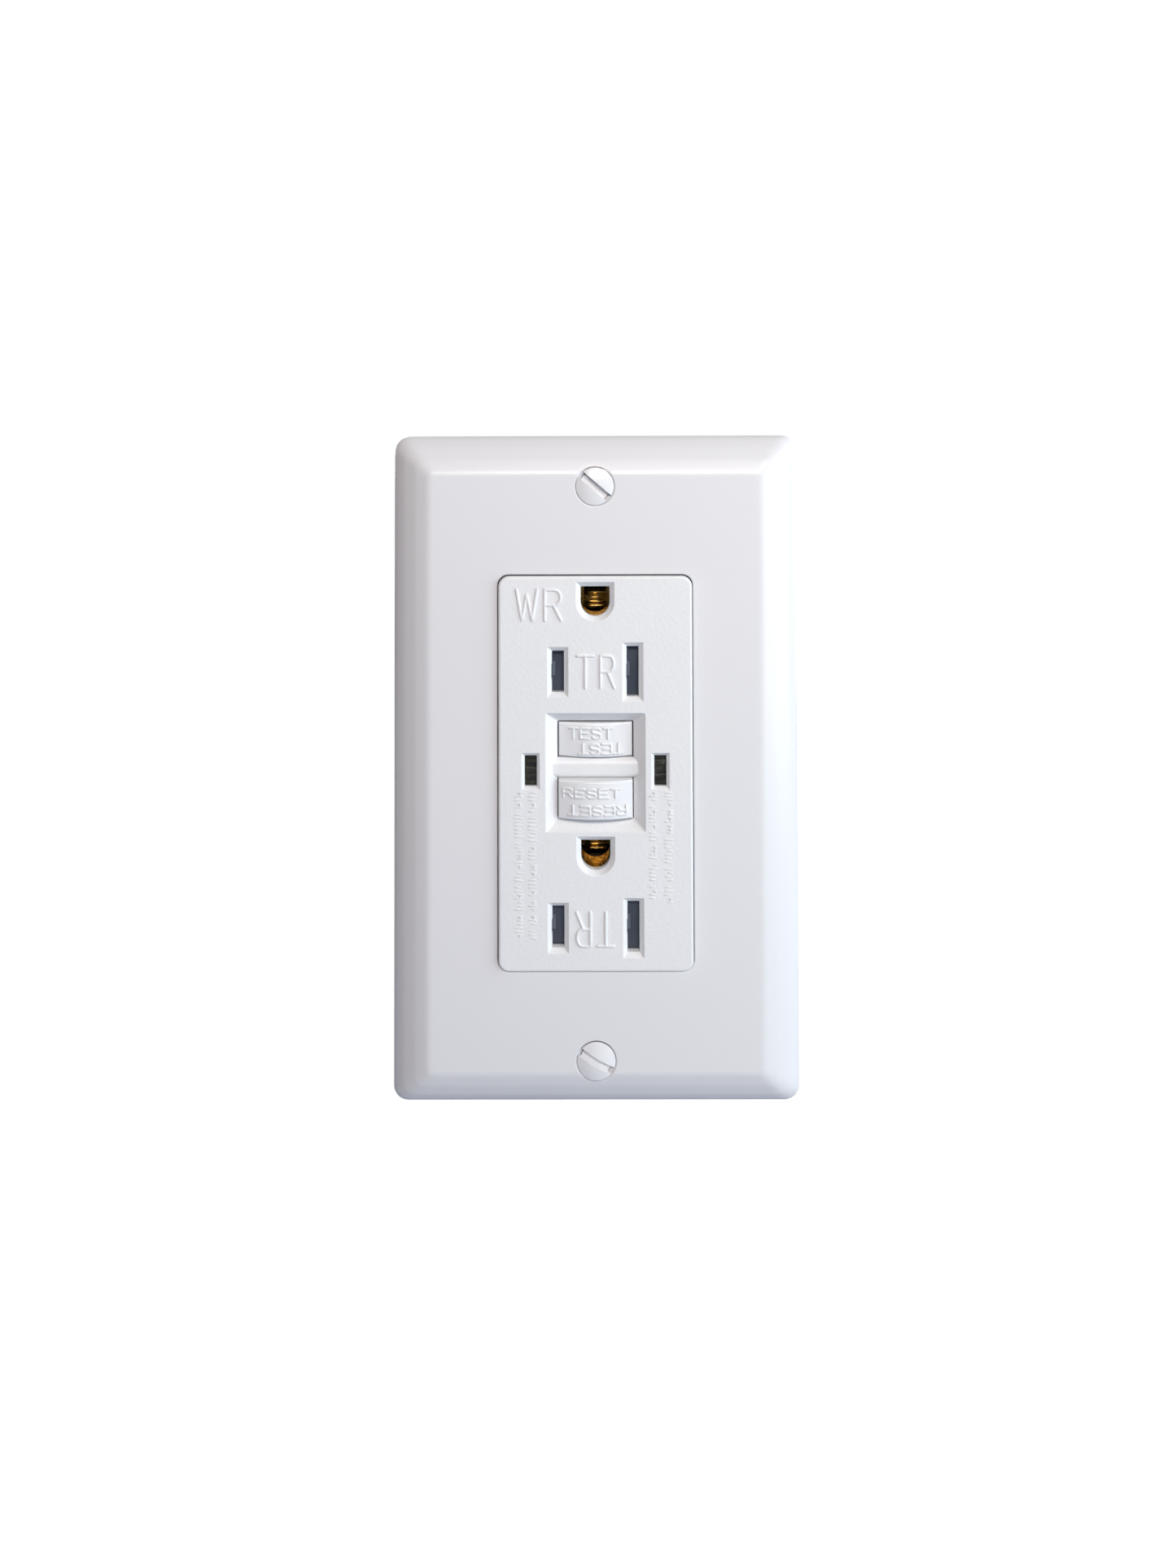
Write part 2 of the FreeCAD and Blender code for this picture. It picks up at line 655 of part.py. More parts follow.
# tab for the ground screw, bent back at the lower end
s.pad("z", -36.0, -34.9, 4.6, 13.4, -strap_thk, 8.6)
s.cpocket("z", -36.0, -34.9, 9.0, 4.4, 1.95)
s.fillet(1.6, lambda e: e.BoundBox.YLength > 1.1 and e.BoundBox.XLength < 0.01 and e.BoundBox.ZLength < 0.01 and abs(abs(e.CenterOfMass.z) - val(strap_end)) < 0.01 and abs(abs(e.CenterOfMass.x) - val(ear_half)) < 0.01)
s.done()

hexhead = doc.addObject("Part::Prism", nm("hexagon"))
hexhead.Polygon = 6
hexhead.Circumradius = 4.0
hexhead.Height = 1.9
place(hexhead, 9.0, 4.4, -38.5)
gs = fuse(
    cyl("-z", 9.0, 4.4, -36.05, 3.1, 0.6, "washer_face"),
    cut(
        hexhead,
        box(4.5, 13.5, 3.85, 4.95, -39.0, -37.4, "slot"),
    ),
    cyl("z", 9.0, 4.4, -36.1, 1.9, 3.2, "thread"),
)
node("ground_screw", gs)

# box screws with their fibre retainers
bs, ws = [], []
for sgn in (1, -1):
    zc = box_pitch / 2 * sgn
    head = cut(
        fuse(cyl("-y", 0.0, -1.22, zc, 3.3, 1.0), cone("-y", 0.0, -2.22, zc, 3.3, 2.2, 0.6)),
        box(-4.0, 4.0, -3.2, -2.0, zc - 0.55, zc + 0.55),
    )
    # undercut neck that keeps the screw in its retainer
    neck = cyl("y", 0.0, -1.3, zc, 1.45, 1.9, "neck")
    shank = cyl("y", 0.0, 0.5, zc, box_screw_rad, box_screw_tip - 1.2, "shank")
    tip = cone("y", 0.0, box_screw_tip - 0.7, zc, box_screw_rad, 1.0, 0.7, "tip")
    bs.append(fuse(head, neck, shank, tip))
    ws.append(cut(cyl("y", 0.0, 0.03, zc, 3.6, 0.44, "washer"), cyl("y", 0.0, -0.5, zc, 1.5, 2.0)))
node("box_screws", group(*bs))
node("screw_retainers", group(*ws))

# ---- ground contacts riveted to the strap ----
rivets = []
for name, zc in (("upper_ground_contact", upper_pin), ("lower_ground_contact", lower_pin)):
    base = cut(
        box(-5.4, 5.4, 0.02, 0.62, zc - 3.9, zc + 3.0, "base"),
        cyl("y", 0.0, -1.0, zc, 2.9, 3.0),
        cyl("y", -4.5, -1.0, zc - 2.6, 0.62, 3.0),
        cyl("y", 4.5, -1.0, zc - 2.6, 0.62, 3.0),
    )
    # trough that leads the pin in, right behind the face
    trough = common(
        cut(cyl("y", 0.0, -4.1, zc, 2.95, 4.7), cyl("y", 0.0, -4.3, zc, 2.55, 5.2)),
        box(-3.2, 3.2, -4.4, 0.8, zc - 3.2, zc - 0.8),
    )
    left = fuse(
        box(-3.55, -2.95, 0.3, 4.2, zc - 1.8, zc + 1.8, "leaf"),
        box(-3.55, -1.95, 3.7, 4.3, zc - 1.8, zc + 1.8, "bend"),
        box(-2.55, -1.95, 3.8, 9.2, zc - 1.8, zc + 1.8, "grip"),
    )
    right = fuse(
        box(2.95, 3.55, 0.3, 4.2, zc - 1.8, zc + 1.8, "leaf"),
        box(1.95, 3.55, 3.7, 4.3, zc - 1.8, zc + 1.8, "bend"),
        box(1.95, 2.55, 3.8, 9.2, zc - 1.8, zc + 1.8, "grip"),
    )
    node(name, fuse(base, trough, left, right))
    for sx in (-1, 1):
        rivets.append(
            fuse(
                cyl("y", 4.5 * sx, -1.3, zc - 2.6, 0.6, 2.0),
                cyl("-y", 4.5 * sx, -1.22, zc - 2.6, 0.85, 0.1),
                cyl("y", 4.5 * sx, 0.64, zc - 2.6, 0.85, 0.35),
            )
        )
node("ground_rivets", group(*rivets))

# ---- shutters ----
for name, zc in (("upper", upper_blade), ("lower", lower_blade)):
    plate = box(-9.2, 12.2, -4.2, -3.0, zc - 5.4, zc + 5.4, "slider")
    wins = [box(blade_off * k + 3.2 - 1.5, blade_off * k + 3.2 + 1.5, -5.0, -2.0, zc - 4.7, zc + 4.7, "window") for k in (-1, 1)]
    bumps = [box(blade_off * k - 1.15, blade_off * k - 0.45, -4.34, -4.1, zc - 1.0, zc + 1.4, "ramp") for k in (-1, 1)]
    node(name + "_shutter", fuse(cut(plate, *wins), *bumps))
    tray = cut(
        box(-14.4, 14.4, -2.8, -1.5, zc - 5.9, zc + 5.9, "tray"),
        *[box(blade_off * k - 1.6, blade_off * k + 1.6, -4.0, 0.0, zc - 5.2, zc + 5.2, "window") for k in (-1, 1)],
    )
    rails = [
        box(-14.4, -13.6, -4.2, -2.7, zc - 5.9, zc + 5.9, "rail"),
        box(13.6, 14.4, -4.2, -2.7, zc - 5.9, zc + 5.9, "rail"),
        box(-14.4, 14.4, -4.2, -2.7, zc - 5.9, zc - 5.5, "rail"),
    ]
    node(name + "_shutter_tray", fuse(tray, *rails))
    node(name + "_shutter_spring", coil("x", -13.57, -3.6, zc, 0.42, 0.22, 4.34, 6))

# ---- contact carrier: inner moulding behind the strap ----
c = Solid("contact_carrier")
c.rpad("y", 0.85, 2.4, -15.3, 15.3, -32.6, 32.6, 1.0)
c.rpad("y", 2.3, 10.2, -15.3, 15.3, -32.6, 32.6, 1.0)
c.rpocket("y", 10.2, 2.4, -14.2, 14.2, -31.5, 31.5, 0.6)
c.pocket("y", 0.85, 2.4, -9.2, 9.2, -10.4, 11.0)
for side in (-1, 1):
    a, b = (9.2, 9.7) if side > 0 else (-9.7, -9.2)
    c.pad("y", 2.35, 6.2, a, b, -10.4, 11.0)
c.pad("y", 5.1, 6.2, -9.5, 9.5, -10.4, 11.0)
c.cpocket("y", 6.2, 5.1, 0.0, reset_z, 1.5)
c.cpocket("y", 6.2, 5.1, 0.0, test_z, 1.6)
for side in (-1, 1):
    xc = lamp_x * side
    c.pocket("y", 0.85, 2.4, xc - 1.1, xc + 1.1, lamp_z - 2.7, lamp_z + 2.7)
for zc in (upper_blade, lower_blade):
    for side in (-1, 1):
        xc = blade_off * side
        c.pocket("y", 0.85, 2.4, xc - 1.6, xc + 1.6, zc - 5.2, zc + 5.2)
for zc in (upper_pin, lower_pin):
    c.pocket("y", 0.85, 2.4, -3.8, 3.8, zc - 2.6, zc + 2.6)
    for side in (-1, 1):
        c.cpocket("y", 0.85, 1.4, 4.5 * side, zc - 2.6, 1.1)
# arms of the contacts leave through these gaps in the side walls
for side in (-1, 1):
    a, b = (14.0, 15.4) if side > 0 else (-15.4, -14.0)
    c.pocket("y", 10.2, 8.4, a, b, -20.0, -9.0)
    c.pocket("y", 10.2, 8.4, a, b, 11.0, 20.0)
c.done()

# ---- brass that takes the plug blades, one strip for each pole ----
arm_y = 11.2
for name, side, tall in (("hot_face_contact", -1, hot_slot), ("neutral_face_contact", 1, neutral_slot)):
    xc = blade_off * side
    pieces = [box(xc - 1.45, xc + 1.45, arm_y, arm_y + brass_thk, -29.2, 21.0, "spine")]
    for zc in (upper_blade, lower_blade):
        for k in (-1, 1):
            lo = xc + k * 1.45 if k < 0 else xc + 0.85
            pieces.append(box(lo, lo + 0.6, 3.6, arm_y + 0.3, zc - 3.2, zc + 3.2, "leaf"))
            mid = xc - 0.95 if k < 0 else xc + 0.35
            pieces.append(box(mid, mid + 0.6, 4.6, 5.2, zc - 3.2, zc + 3.2, "nip"))
    # arm out to the switching contact beside the lamp
    a, b = (7.7, 13.0) if side > 0 else (-13.0, -7.7)
    pieces.append(box(a, b, arm_y, arm_y + brass_thk, -5.4, -2.6, "switch_arm"))
    # arm out to the load terminal
    a, b = (7.7, 18.6) if side > 0 else (-18.6, -7.7)
    pieces.append(box(a, b, arm_y, arm_y + brass_thk, 13.0, 19.0, "load_arm"))
    node(name, fuse(*pieces))

# ---- terminals ----
for pole, side in (("hot", -1), ("neutral", 1)):
    for place_name, zc in (("load", term_z), ("line", -term_z)):
        x_in, x_out = 17.75 * side, 18.55 * side
        lo, hi = min(x_in, x_out), max(x_in, x_out)
        blade = cut(
            box(lo, hi, 12.1, 22.4, zc - 5.0, zc + 5.0, "plate"),
            cyl("x" if side > 0 else "-x", 17.0 * side, term_y, zc, 1.98, 3.0),
        )
        parts = [blade]
        if place_name == "line":
            a, b = (9.9, 18.55) if side > 0 else (-18.55, -9.9)
            parts.append(box(a, b, arm_y, arm_y + 0.8, -12.9, -10.1, "arm"))
            parts.append(box(lo, hi, arm_y, 12.6, -15.5, -10.1, "riser"))
        node("%s_%s_terminal" % (place_name, pole), fuse(*parts))
    heads, clamps = [], []
    for zc in (term_z, -term_z):
        ax = "x" if side > 0 else "-x"
        head = cut(
            fuse(cyl(ax, 19.66 * side, term_y, zc, 3.8, 1.5), cone(ax, 21.16 * side, term_y, zc, 3.8, 3.3, 0.4)),
            box(20.4 * side if side > 0 else -22.5, 22.5 if side > 0 else -20.4, term_y - 4.5, term_y + 4.5, zc - 0.6, zc + 0.6, "slot"),
        )
        heads.append(fuse(head, cyl(ax, 16.0 * side, term_y, zc, 1.9, 3.7, "thread")))
        lo, hi = (18.62, 19.62) if side > 0 else (-19.62, -18.62)
        clamps.append(cut(box(lo, hi, term_y - 4.4, term_y + 4.4, zc - 4.6, zc + 4.6, "clamp"), cyl(ax, 18.0 * side, term_y, zc, 2.0, 3.0)))
    node(pole + "_terminal_screws", group(*heads))
    node(pole + "_clamp_plates", group(*clamps))

# ---- switching contacts ----
tips = []
for side in (-1, 1):
    for zc in (-4.0, -11.5):
        tips.append(cyl("y", 11.4 * side, arm_y + 0.8, zc, 1.2, 0.5, "tip"))
node("fixed_contact_tips", group(*tips))
tips = []
for side in (-1, 1):
    for zc in (-4.0, -11.5):
        tips.append(cyl("y", 11.4 * side, arm_y + 1.3, zc, 1.2, 0.5, "tip"))
node("moving_contact_tips", group(*tips))
for name, side in (("hot_contact_bridge", -1), ("neutral_contact_bridge", 1)):
    a, b = (10.0, 12.8) if side > 0 else (-12.8, -10.0)
    node(name, box(a, b, arm_y + 1.8, arm_y + 2.4, -13.0, -2.6, "bridge"))

wing_y = arm_y + 2.4
carriage = cut(
    fuse(
        box(-3.9, 3.9, 8.8, wing_y + 1.2, -8.3, -1.9, "block"),
        box(-13.0, 13.0, wing_y, wing_y + 1.2, -9.4, -6.2, "wings"),
        box(-2.2, 2.2, wing_y - 0.2, wing_y + 1.2, -13.4, -8.0, "lug_arm"),
        box(-2.2, 2.2, 10.6, wing_y + 1.2, -13.4, -12.6, "lug"),
    ),
    cyl("y", 0.0, 8.0, reset_z, 1.4, 10.0, "pin_bore"),
    box(-2.5, 2.5, coil_y - 0.5, coil_y + 0.5, -9.0, 0.0, "plate_slot"),
)
node("contact_carriage", carriage)
plate = cut(
    box(-2.3, 2.3, coil_y - 0.35, coil_y + 0.35, -9.0, -0.45, "latch"),
    box(-1.3, 1.3, coil_y - 1, coil_y + 1, -5.4, -2.05, "keyhole"),
)
node("latch_plate", plate)
node("latch_spring", coil("z", 0.0, coil_y, -12.58, 0.75, 0.3, 3.54, 5))

# ---- solenoid ----
sol0, sol1 = 2.2, 13.8
bob = cut(
    fuse(
        cyl("z", 0.0, coil_y, sol0 + 0.85, 2.0, sol1 - sol0 - 1.7),
        cyl("z", 0.0, coil_y, sol0 + 0.85, 3.8, 0.7),
        cyl("z", 0.0, coil_y, sol1 - 1.55, 3.8, 0.7),
    ),
    cyl("z", 0.0, coil_y, sol0, 1.4, 12.0),
)
node("solenoid_bobbin", bob)
node(
    "solenoid_winding",
    cut(cyl("z", 0.0, coil_y, sol0 + 1.6, 3.45, sol1 - sol0 - 3.2), cyl("z", 0.0, coil_y, sol0, 2.03, 12.0)),
)
frame = cut(
    fuse(
        box(-4.2, 4.2, coil_y - 3.9, coil_y + 4.8, sol0, sol0 + 0.8),
        box(-4.2, 4.2, coil_y - 3.9, coil_y + 4.8, sol1 - 0.8, sol1),
        box(-4.2, 4.2, coil_y + 4.0, coil_y + 4.8, sol0, sol1),
    ),
    cyl("z", 0.0, coil_y, sol0 - 1, 1.45, 3.0),
)
node("solenoid_frame", frame)
plunger = fuse(
    cyl("z", 0.0, coil_y, 0.3, plunger_rad, 10.6),
    cone("-z", 0.0, coil_y, 0.3, plunger_rad, 0.9, 0.6),
    cyl("z", 0.0, coil_y, 0.35, 1.75, 0.35, "collar"),
)
node("solenoid_plunger", plunger)
node("plunger_spring", coil("z", 0.0, coil_y, 0.72, 1.52, 0.28, 1.46, 2))

# ---- circuit board ----
b = Solid("circuit_board")
b.rpad("y", board_y, board_y + board_thk, -15.6, 15.6, -32.2, 32.2, 0.8)
b.cpocket("y", board_y, board_y + board_thk, 0.0, reset_z, 2.0)
for side in (-1, 1):
    for k in (-0.6, 0.6):
        b.cpocket("y", board_y, board_y + board_thk, lamp_x * side, lamp_z + k, 0.4)
b.done()
py = board_y
node(
    "control_chip",
    fuse(
        box(-4.9, 4.9, py - 2.6, py - 0.9, 21.5, 25.4, "chip"),
        *[box(-4.4 + 2.54 * i, -4.0 + 2.54 * i, py - 1.9, py - 0.02, 20.6 if k else 25.2, 21.7 if k else 26.3, "leg") for i in range(4) for k in (0, 1)],
    ),
)
node("thyristor", fuse(cyl("y", 10.5, py - 5.0, 26.5, 2.2, 3.6, "can"), *[cyl("y", 10.5 + k, py - 1.6, 26.5, 0.22, 1.58, "leg") for k in (-1.27, 0, 1.27)]))
node("varistor", fuse(cyl("z", -10.5, py - 4.2, 25.2, 3.4, 2.4, "disc"), *[cyl("y", -10.5 + k, py - 2.6, 26.4, 0.3, 2.58, "leg") for k in (-2.0, 2.0)]))
node("film_capacitor", box(-14.0, -3.0, py - 4.6, py - 0.05, -30.2, -24.6, "capacitor"))
diodes = []
for i in range(4):
    zc = -30.0 + 3.0 * i
    diodes.append(
        fuse(
            cyl("x", 6.0, py - 1.5, zc, 1.1, 4.4, "diode"),
            box(4.0, 12.4, py - 1.75, py - 1.25, zc - 0.25, zc + 0.25, "lead"),
            box(4.0, 4.5, py - 1.75, py - 0.02, zc - 0.25, zc + 0.25, "leg"),
            box(11.9, 12.4, py - 1.75, py - 0.02, zc - 0.25, zc + 0.25, "leg"),
        )
    )
node("diodes", group(*diodes))
res = []
for i in range(3):
    zc = 29.6 - 3.0 * i
    pz = py + board_thk
    res.append(
        fuse(
            cyl("x", -3.0, pz + 1.3, zc, 1.0, 6.0, "resistor"),
            box(-4.9, 4.9, pz + 1.05, pz + 1.55, zc - 0.25, zc + 0.25, "lead"),
            box(-4.9, -4.4, pz + 0.02, pz + 1.55, zc - 0.25, zc + 0.25, "leg"),
            box(4.4, 4.9, pz + 0.02, pz + 1.55, zc - 0.25, zc + 0.25, "leg"),
        )
    )
node("resistors", group(*res))

# ground-fault sensing transformer behind the board
tz, ty = -18.0, board_y + board_thk + 0.05
tr = fuse(
    cut(cyl("y", 0.0, ty, tz, 7.6, 6.3, "cup"), cyl("y", 0.0, ty + 0.7, tz, 6.8, 7.0)),
    cyl("y", 0.0, ty, tz, 3.4, 6.3, "hub"),
)
node("transformer_housing", cut(tr, cyl("y", 0.0, ty - 1.0, tz, 2.7, 9.0)))
for name, off in (("sense_core", 0.9), ("neutral_core", 3.6)):
    ring = cut(cyl("y", 0.0, ty + off, tz, 6.5, 2.4), cyl("y", 0.0, ty + off - 1, tz, 3.7, 5.0))
    node(name, round_edges(ring, 0.5, lambda e: True if e.Length > 15 else False))

# test contact: leaf behind the test button with a leg to the board
node(
    "test_contact",
    fuse(
        box(-0.9, 0.9, 7.35, 7.65, 3.9, 15.3, "leaf"),
        box(-0.9, 0.9, 7.35, py - 0.02, 15.0, 15.3, "leg"),
    ),
)

# ---- rear housing ----
r = Solid("rear_housing")
r.rpad("y", case_split, case_back, -bx, bx, -bz, bz, 2.0)
r.rpocket("y", case_split, case_back - case_wall, -16.3, 16.3, -bz + 1.6, bz - 1.6, 1.0)
for side in (-1, 1):
    for zc in (term_z, -term_z):
        a, b2 = (17.6, bx + 1.0) if side > 0 else (-bx - 1.0, E(-17.6, "(-17.6)"))
        r.pocket("y", 10.4, 23.8, a, b2, zc - 7.0, zc + 7.0)
        r.cpocket("x", 15.0 * side, 18.5 * side, term_y, zc, 2.4)
        for k in (-3.6, 3.6):
            r.cpocket("y", case_back, 23.0, 19.5 * side, zc + k, 1.25)
    # slots for the arms that reach the terminals
    a, b2 = (16.0, 18.0) if side > 0 else (-18.0, -16.0)
    r.pocket("y", 11.0, 12.6, a, b2, 12.8, 19.2)
    r.pocket("y", 11.0, 12.6, a, b2, -13.2, -9.9)
for sx in (-1, 1):
    for sz in (-1, 1):
        r.cpocket("y", case_back, case_split, screw_pos_x * sx, screw_pos_z * sz, 1.45)
        r.cpocket("y", case_back, case_back - 2.0, screw_pos_x * sx, screw_pos_z * sz, 2.5)
r.fillet(1.0, lambda e: at_y(e, case_back) and (abs(abs(e.CenterOfMass.x) - val(bx)) < 0.7 or abs(abs(e.CenterOfMass.z) - val(bz)) < 0.7))
r.done()

hs = []
for sx in (-1, 1):
    for sz in (-1, 1):
        x0, z0 = screw_pos_x * sx, screw_pos_z * sz
        head = cut(cyl("-y", x0, case_back - 0.2, z0, 2.3, 1.75, "head"), box(x0 - 3, x0 + 3, case_back - 0.9, case_back + 1, z0 - 0.35, z0 + 0.35), box(x0 - 0.35, x0 + 0.35, case_back - 0.9, case_back + 1, z0 - 3, z0 + 3))
        hs.append(fuse(head, cyl("-y", x0, case_back - 1.9, z0, 1.25, case_back - 1.9 - 1.2, "shank")))
node("housing_screws", group(*hs))

doc.recompute()
bad = list(problems)
for o in doc.Objects:
    if any(w in ("Invalid", "Error") for w in o.State):
        bad.append("%s (%s) %s" % (o.Name, o.Label, o.State))
for label, o in NODES.items():
    sh = o.Shape
    if sh.isNull() or not sh.isValid() or not sh.Solids:
        bad.append("%s has no valid solid" % label)
    else:
        bb = sh.BoundBox
        print("%-24s solids %d vol %9.2f  x %.2f %.2f y %.2f %.2f z %.2f %.2f" % (label, len(sh.Solids), sh.Volume, bb.XMin, bb.XMax, bb.YMin, bb.YMax, bb.ZMin, bb.ZMax))
if bad:
    for x in bad:
        print("PROBLEM", x)
    raise SystemExit(1)
os.makedirs("parts", exist_ok=True)
for old in os.listdir("parts"):
    if old.endswith(".step") and old[:-5] not in NODES:
        os.remove(os.path.join("parts", old))
for label, o in NODES.items():
    o.Shape.exportStep("parts/%s.step" % label)
print("wrote", len(NODES), "nodes")
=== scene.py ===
import json
import math
import random

import bmesh
import bpy
from mathutils import Euler, Matrix, Vector


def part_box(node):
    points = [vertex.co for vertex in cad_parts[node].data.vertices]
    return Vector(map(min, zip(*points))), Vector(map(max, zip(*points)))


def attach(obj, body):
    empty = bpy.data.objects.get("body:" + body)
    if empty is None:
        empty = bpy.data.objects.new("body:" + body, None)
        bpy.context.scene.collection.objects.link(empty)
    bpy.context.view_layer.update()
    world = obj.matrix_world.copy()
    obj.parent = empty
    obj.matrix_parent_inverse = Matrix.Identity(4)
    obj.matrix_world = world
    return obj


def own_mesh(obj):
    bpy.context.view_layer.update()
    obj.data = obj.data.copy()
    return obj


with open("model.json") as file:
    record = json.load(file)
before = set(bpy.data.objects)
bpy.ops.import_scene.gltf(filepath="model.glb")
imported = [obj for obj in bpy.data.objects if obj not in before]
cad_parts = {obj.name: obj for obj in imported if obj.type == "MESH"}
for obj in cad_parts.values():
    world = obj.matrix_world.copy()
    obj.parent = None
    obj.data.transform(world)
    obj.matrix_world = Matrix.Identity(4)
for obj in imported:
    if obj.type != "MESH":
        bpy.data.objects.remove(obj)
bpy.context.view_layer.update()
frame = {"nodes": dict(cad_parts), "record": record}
MM = 0.001
rng = random.Random(7)
nodes = frame["nodes"]


# ------------------------------------------------------------------ materials
def new_mat(name):
    m = bpy.data.materials.new(name)
    m.use_nodes = True
    nt = m.node_tree
    bsdf = nt.nodes["Principled BSDF"]
    return m, nt, bsdf


def noise(nt, scale, detail=4.0, rough=0.55, coords=None, stretch=None):
    if coords is None:
        coords = nt.nodes.new("ShaderNodeTexCoord").outputs["Object"]
    if stretch is not None:
        mp = nt.nodes.new("ShaderNodeMapping")
        mp.inputs["Scale"].default_value = stretch
        nt.links.new(coords, mp.inputs["Vector"])
        coords = mp.outputs["Vector"]
    n = nt.nodes.new("ShaderNodeTexNoise")
    n.inputs["Scale"].default_value = scale
    n.inputs["Detail"].default_value = detail
    n.inputs["Roughness"].default_value = rough
    nt.links.new(coords, n.inputs["Vector"])
    return n.outputs["Fac"]


def ramp(nt, fac, stops):
    r = nt.nodes.new("ShaderNodeValToRGB")
    e = r.color_ramp.elements
    while len(e) < len(stops):
        e.new(0.5)
    for k, (p, c) in zip(e, stops):
        k.position = p
        k.color = (c[0], c[1], c[2], 1.0)
    nt.links.new(fac, r.inputs["Fac"])
    return r.outputs["Color"]


def span(nt, fac, lo, hi, a=0.3, b=0.7):
    r = nt.nodes.new("ShaderNodeMapRange")
    r.inputs["From Min"].default_value = a
    r.inputs["From Max"].default_value = b
    r.inputs["To Min"].default_value = lo
    r.inputs["To Max"].default_value = hi
    nt.links.new(fac, r.inputs["Value"])
    return r.outputs["Result"]


def bump(nt, bsdf, heights, edge=0.0):
    """heights: (value socket, strength, distance in metres)."""
    normal = None
    if edge is not None and edge != 0.0:
        bv = nt.nodes.new("ShaderNodeBevel")
        bv.samples = 4
        if isinstance(edge, float):
            bv.inputs["Radius"].default_value = edge
        else:
            bv.samples = 8
            nt.links.new(edge, bv.inputs["Radius"])
        normal = bv.outputs["Normal"]
    for h, strength, dist in heights:
        b = nt.nodes.new("ShaderNodeBump")
        b.inputs["Strength"].default_value = strength
        b.inputs["Distance"].default_value = dist
        nt.links.new(h, b.inputs["Height"])
        if normal is not None:
            nt.links.new(normal, b.inputs["Normal"])
        normal = b.outputs["Normal"]
    if normal is not None:
        nt.links.new(normal, bsdf.inputs["Normal"])


def plastic(name, base, rough=0.35, spread=0.02, grain=0.3, grain_mm=0.16, edge=0.00018, ior=1.47, coat=0.0, sss=0.0, edge_far=None, vary=0.05, grain_deep=0.00002):
    """Moulded thermoplastic: faint mottling, fine mould grain, uneven gloss."""
    m, nt, b = new_mat(name)
    tc = nt.nodes.new("ShaderNodeTexCoord").outputs["Object"]
    broad = noise(nt, 120.0, 1.0, 0.4, tc)
    lo = [max(0, c - spread) for c in base]
    hi = [min(1, c + spread) for c in base]
    mx = nt.nodes.new("ShaderNodeMix")
    mx.data_type = "RGBA"
    mx.inputs[6].default_value = (lo[0], lo[1], lo[2], 1.0)
    mx.inputs[7].default_value = (hi[0], hi[1], hi[2], 1.0)
    nt.links.new(span(nt, broad, 0.0, 1.0, 0.2, 0.8), mx.inputs[0])
    nt.links.new(mx.outputs[2], b.inputs["Base Color"])
    fine = noise(nt, 1000.0 / grain_mm * 0.6, 2.0, 0.5, tc)
    nt.links.new(span(nt, broad, rough - vary, rough + vary, 0.2, 0.8), b.inputs["Roughness"])
    b.inputs["IOR"].default_value = ior
    if coat:
        b.inputs["Coat Weight"].default_value = coat
        b.inputs["Coat Roughness"].default_value = 0.12
    if sss:
        b.inputs["Subsurface Weight"].default_value = sss
        b.inputs["Subsurface Radius"].default_value = (0.0012, 0.0010, 0.0009)
        b.inputs["Subsurface Scale"].default_value = 1.0
    if edge_far:
        # the bevel round the cover plate has broad soft creases, its opening a crisp edge
        sx = nt.nodes.new("ShaderNodeSeparateXYZ")
        nt.links.new(tc, sx.inputs["Vector"])
        masks = []
        for axis, lo_m, hi_m in (("X", 0.0262, 0.0292), ("Z", 0.0503, 0.0518)):
            ab = nt.nodes.new("ShaderNodeMath")
            ab.operation = "ABSOLUTE"
            nt.links.new(sx.outputs[axis], ab.inputs[0])
            mr = nt.nodes.new("ShaderNodeMapRange")
            mr.inputs["From Min"].default_value = lo_m
            mr.inputs["From Max"].default_value = hi_m
            mr.inputs["To Min"].default_value = edge
            mr.inputs["To Max"].default_value = edge_far
            nt.links.new(ab.outputs[0], mr.inputs["Value"])
            masks.append(mr.outputs["Result"])
        mr = nt.nodes.new("ShaderNodeMath")
        mr.operation = "MAXIMUM"
        nt.links.new(masks[0], mr.inputs[0])
        nt.links.new(masks[1], mr.inputs[1])
        edge = mr.outputs[0]
    bump(nt, b, [(fine, grain, grain_deep)], edge)
    return m


def metal(name, base, rough=0.3, spread=0.05, brushed=(1, 1, 1), scale=900.0, strength=0.12, tarnish=None):
    m, nt, b = new_mat(name)
    tc = nt.nodes.new("ShaderNodeTexCoord").outputs["Object"]
    broad = noise(nt, 160.0, 5.0, 0.6, tc)
    fine = noise(nt, scale, 3.0, 0.6, tc, brushed)
    lo = [max(0, c - spread) for c in base]
    hi = [min(1, c + spread) for c in base]
    stops = [(0.28, tarnish or lo), (0.5, base), (0.75, hi)]
    nt.links.new(ramp(nt, broad, stops), b.inputs["Base Color"])
    b.inputs["Metallic"].default_value = 1.0
    nt.links.new(span(nt, fine, rough - 0.08, rough + 0.12), b.inputs["Roughness"])
    bump(nt, b, [(fine, strength, 0.00002)], 0.0001)
    return m


def wound(name, base, dark, pitch_mm, axis):
    """Enamelled copper wire in close turns."""
    m, nt, b = new_mat(name)
    tc = nt.nodes.new("ShaderNodeTexCoord").outputs["Object"]
    w = nt.nodes.new("ShaderNodeTexWave")
    w.wave_type = "BANDS"
    w.bands_direction = axis
    w.inputs["Scale"].default_value = 1000.0 / pitch_mm / 20.0 * math.pi
    w.inputs["Distortion"].default_value = 0.6
    nt.links.new(tc, w.inputs["Vector"])
    # painted shade: the copper darkens towards the grooves between turns, following the bump
    nt.links.new(ramp(nt, w.outputs["Fac"], [(0.1, dark), (0.6, base)]), b.inputs["Base Color"])
    b.inputs["Metallic"].default_value = 0.85
    nt.links.new(span(nt, noise(nt, 300.0, 3.0, 0.5, tc), 0.25, 0.4), b.inputs["Roughness"])
    bump(nt, b, [(w.outputs["Fac"], 0.6, 0.00006)])
    return m


